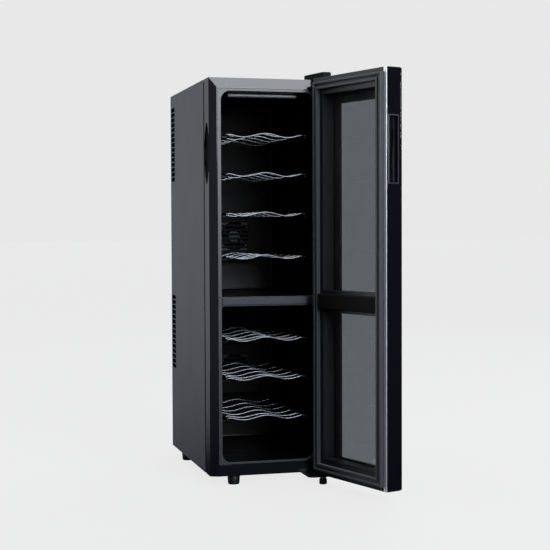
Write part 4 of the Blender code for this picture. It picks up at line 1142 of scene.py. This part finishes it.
# %% Camera
eye = corner + Vector((-0.6441, -2.9723, 0.5799))
yaw, pitch, roll = 0.26325, 0.035667, -0.0037944  # radians
forward = Vector((sin(yaw) * cos(pitch), cos(yaw) * cos(pitch), -sin(pitch)))
right = Vector((cos(yaw), -sin(yaw), 0))
up = right.cross(forward)
right, up = (right * cos(roll) + up * sin(roll), up * cos(roll) - right * sin(roll))
lens = bpy.data.cameras.new("long_lens")
lens.lens = 85.73
lens.sensor_width = 36
camera = bpy.data.objects.new("camera", lens)
camera.matrix_world = Matrix((right, up, -forward)).transposed().to_4x4()
camera.matrix_world.translation = eye
bpy.context.scene.collection.objects.link(camera)
bpy.context.scene.camera = camera
print("camera at", tuple(round(v, 3) for v in eye))

# %% [markdown]
# ## Floor, sky and lamps
#
# Black plastic shows almost nothing of its own colour. What the eye reads is what it reflects, so
# the room matters as much as the finish. The floor and the far background are pale. The floor glows
# softly by itself, so it stays even to its edge, and it is left out of reflections. The sky that
# reflections see is darker low down than high up, which gives the tall dark faces their slow fade,
# and it fades again towards the sides, so that the door's edge stays black.
#
# Large soft lamps then draw the bright bands: one high in front for the sloping top band, a lower
# one in front for the divider, the lips and the wires, one to the left for the side sheet, one
# behind for the top sheet, and one overhead.

# %% Floor
REACH = 60.0
FLOOR_GLOW = 0.78
floor_mesh = bmesh.new()
bmesh.ops.create_grid(floor_mesh, x_segments=8, y_segments=8, size=REACH)
floor = to_object("studio_floor", floor_mesh)
painted = Finish("floor_painted_matt", "#111111", 0.9)
painted.tint(painted.noise(60, 3.0), "#0f0f0f", "#131313")
painted.set("Emission Color", linear("#ffffff"))
painted.set("Emission Strength", FLOOR_GLOW)
floor.data.materials.append(painted.material)
floor.visible_glossy = False
floor.visible_diffuse = False

# %% Sky: pale to look at, graded in reflections
BACKGROUND = "#e8e8e8"
SIDE_SKY = 0.05
sky = bpy.data.worlds.new("studio_sky")
sky.use_nodes = True
bpy.context.scene.world = sky
tree = sky.node_tree
tree.nodes.clear()
way = add(tree, "SeparateXYZ", {"Vector": add(tree, "TexCoord").outputs["Generated"]})
fade = add(tree, "ValToRGB", {"Fac": add(tree, "MapRange", {"Value": way.outputs["Z"], "From Min": -1.0,
                                                            "From Max": 1.0}).outputs["Result"]})
GRADE = ((0.425, 0.21), (0.47, 0.33), (0.51, 0.38), (0.55, 0.34), (0.75, 0.5))  # 0.5 is level
stops = fade.color_ramp.elements
stops[0].position, stops[0].color = 0.405, (0.015, 0.015, 0.018, 1)
stops[1].position, stops[1].color = 1.0, (0.9, 0.93, 1.0, 1)
for position, level in GRADE:
    stop = stops.new(position)
    stop.color = (level * 0.96, level * 0.98, level * 1.04, 1)
sideways = add(tree, "Math", {0: way.outputs["X"]}, operation="ABSOLUTE")
narrow = add(tree, "MapRange", {"Value": sideways.outputs["Value"], "From Min": 0.40, "From Max": 0.66,
                                "To Min": 1.0, "To Max": SIDE_SKY}, interpolation_type="SMOOTHSTEP")
ray = add(tree, "LightPath")
straight = add(tree, "Math", {0: ray.outputs["Is Camera Ray"], 1: ray.outputs["Is Transmission Ray"]},
               operation="MAXIMUM")
graded = add(tree, "Background", {"Color": fade.outputs["Color"], "Strength": narrow.outputs["Result"]})
pale = add(tree, "Background", {"Color": linear(BACKGROUND), "Strength": 1.0})
both = add(tree, "MixShader", {"Fac": straight.outputs["Value"], 1: graded.outputs["Background"],
                               2: pale.outputs["Background"]})
add(tree, "OutputWorld", {"Surface": both.outputs["Shader"]})


# %% Lamps
def lamp(name, spot_at, aim, width, height, power):
    light = bpy.data.lights.new(name, "AREA")
    light.shape = "RECTANGLE"
    light.size = width
    light.size_y = height
    light.energy = power
    light.color = (0.90, 0.94, 1.0)
    holder = bpy.data.objects.new(name, light)
    holder.location = corner + Vector(spot_at)
    direction = corner + Vector(aim) - holder.location
    holder.rotation_euler = direction.to_track_quat("-Z", "Y").to_euler()
    holder.visible_camera = False
    holder.visible_transmission = False
    bpy.context.scene.collection.objects.link(holder)


lamp("front_high_lamp", (1.05, -2.7, 2.75), (0.14, 0.0, 0.93), 1.8, 0.9, 58)
lamp("front_lamp", (0.85, -2.9, 1.5), (0.14, 0.0, 0.8), 1.2, 1.2, 85)
lamp("left_lamp", (-2.6, 1.6, 1.0), (0.3, -0.2, 0.5), 1.2, 2.4, 31)
lamp("rear_lamp", (2.6, 2.8, 2.6), (0.14, 0.4, 0.5), 2.4, 2.4, 45)
lamp("overhead_lamp", (0.0, -0.2, 3.4), (0.0, 0.0, 0.0), 3.0, 3.0, 60)
bpy.context.scene.view_settings.view_transform = "Standard"
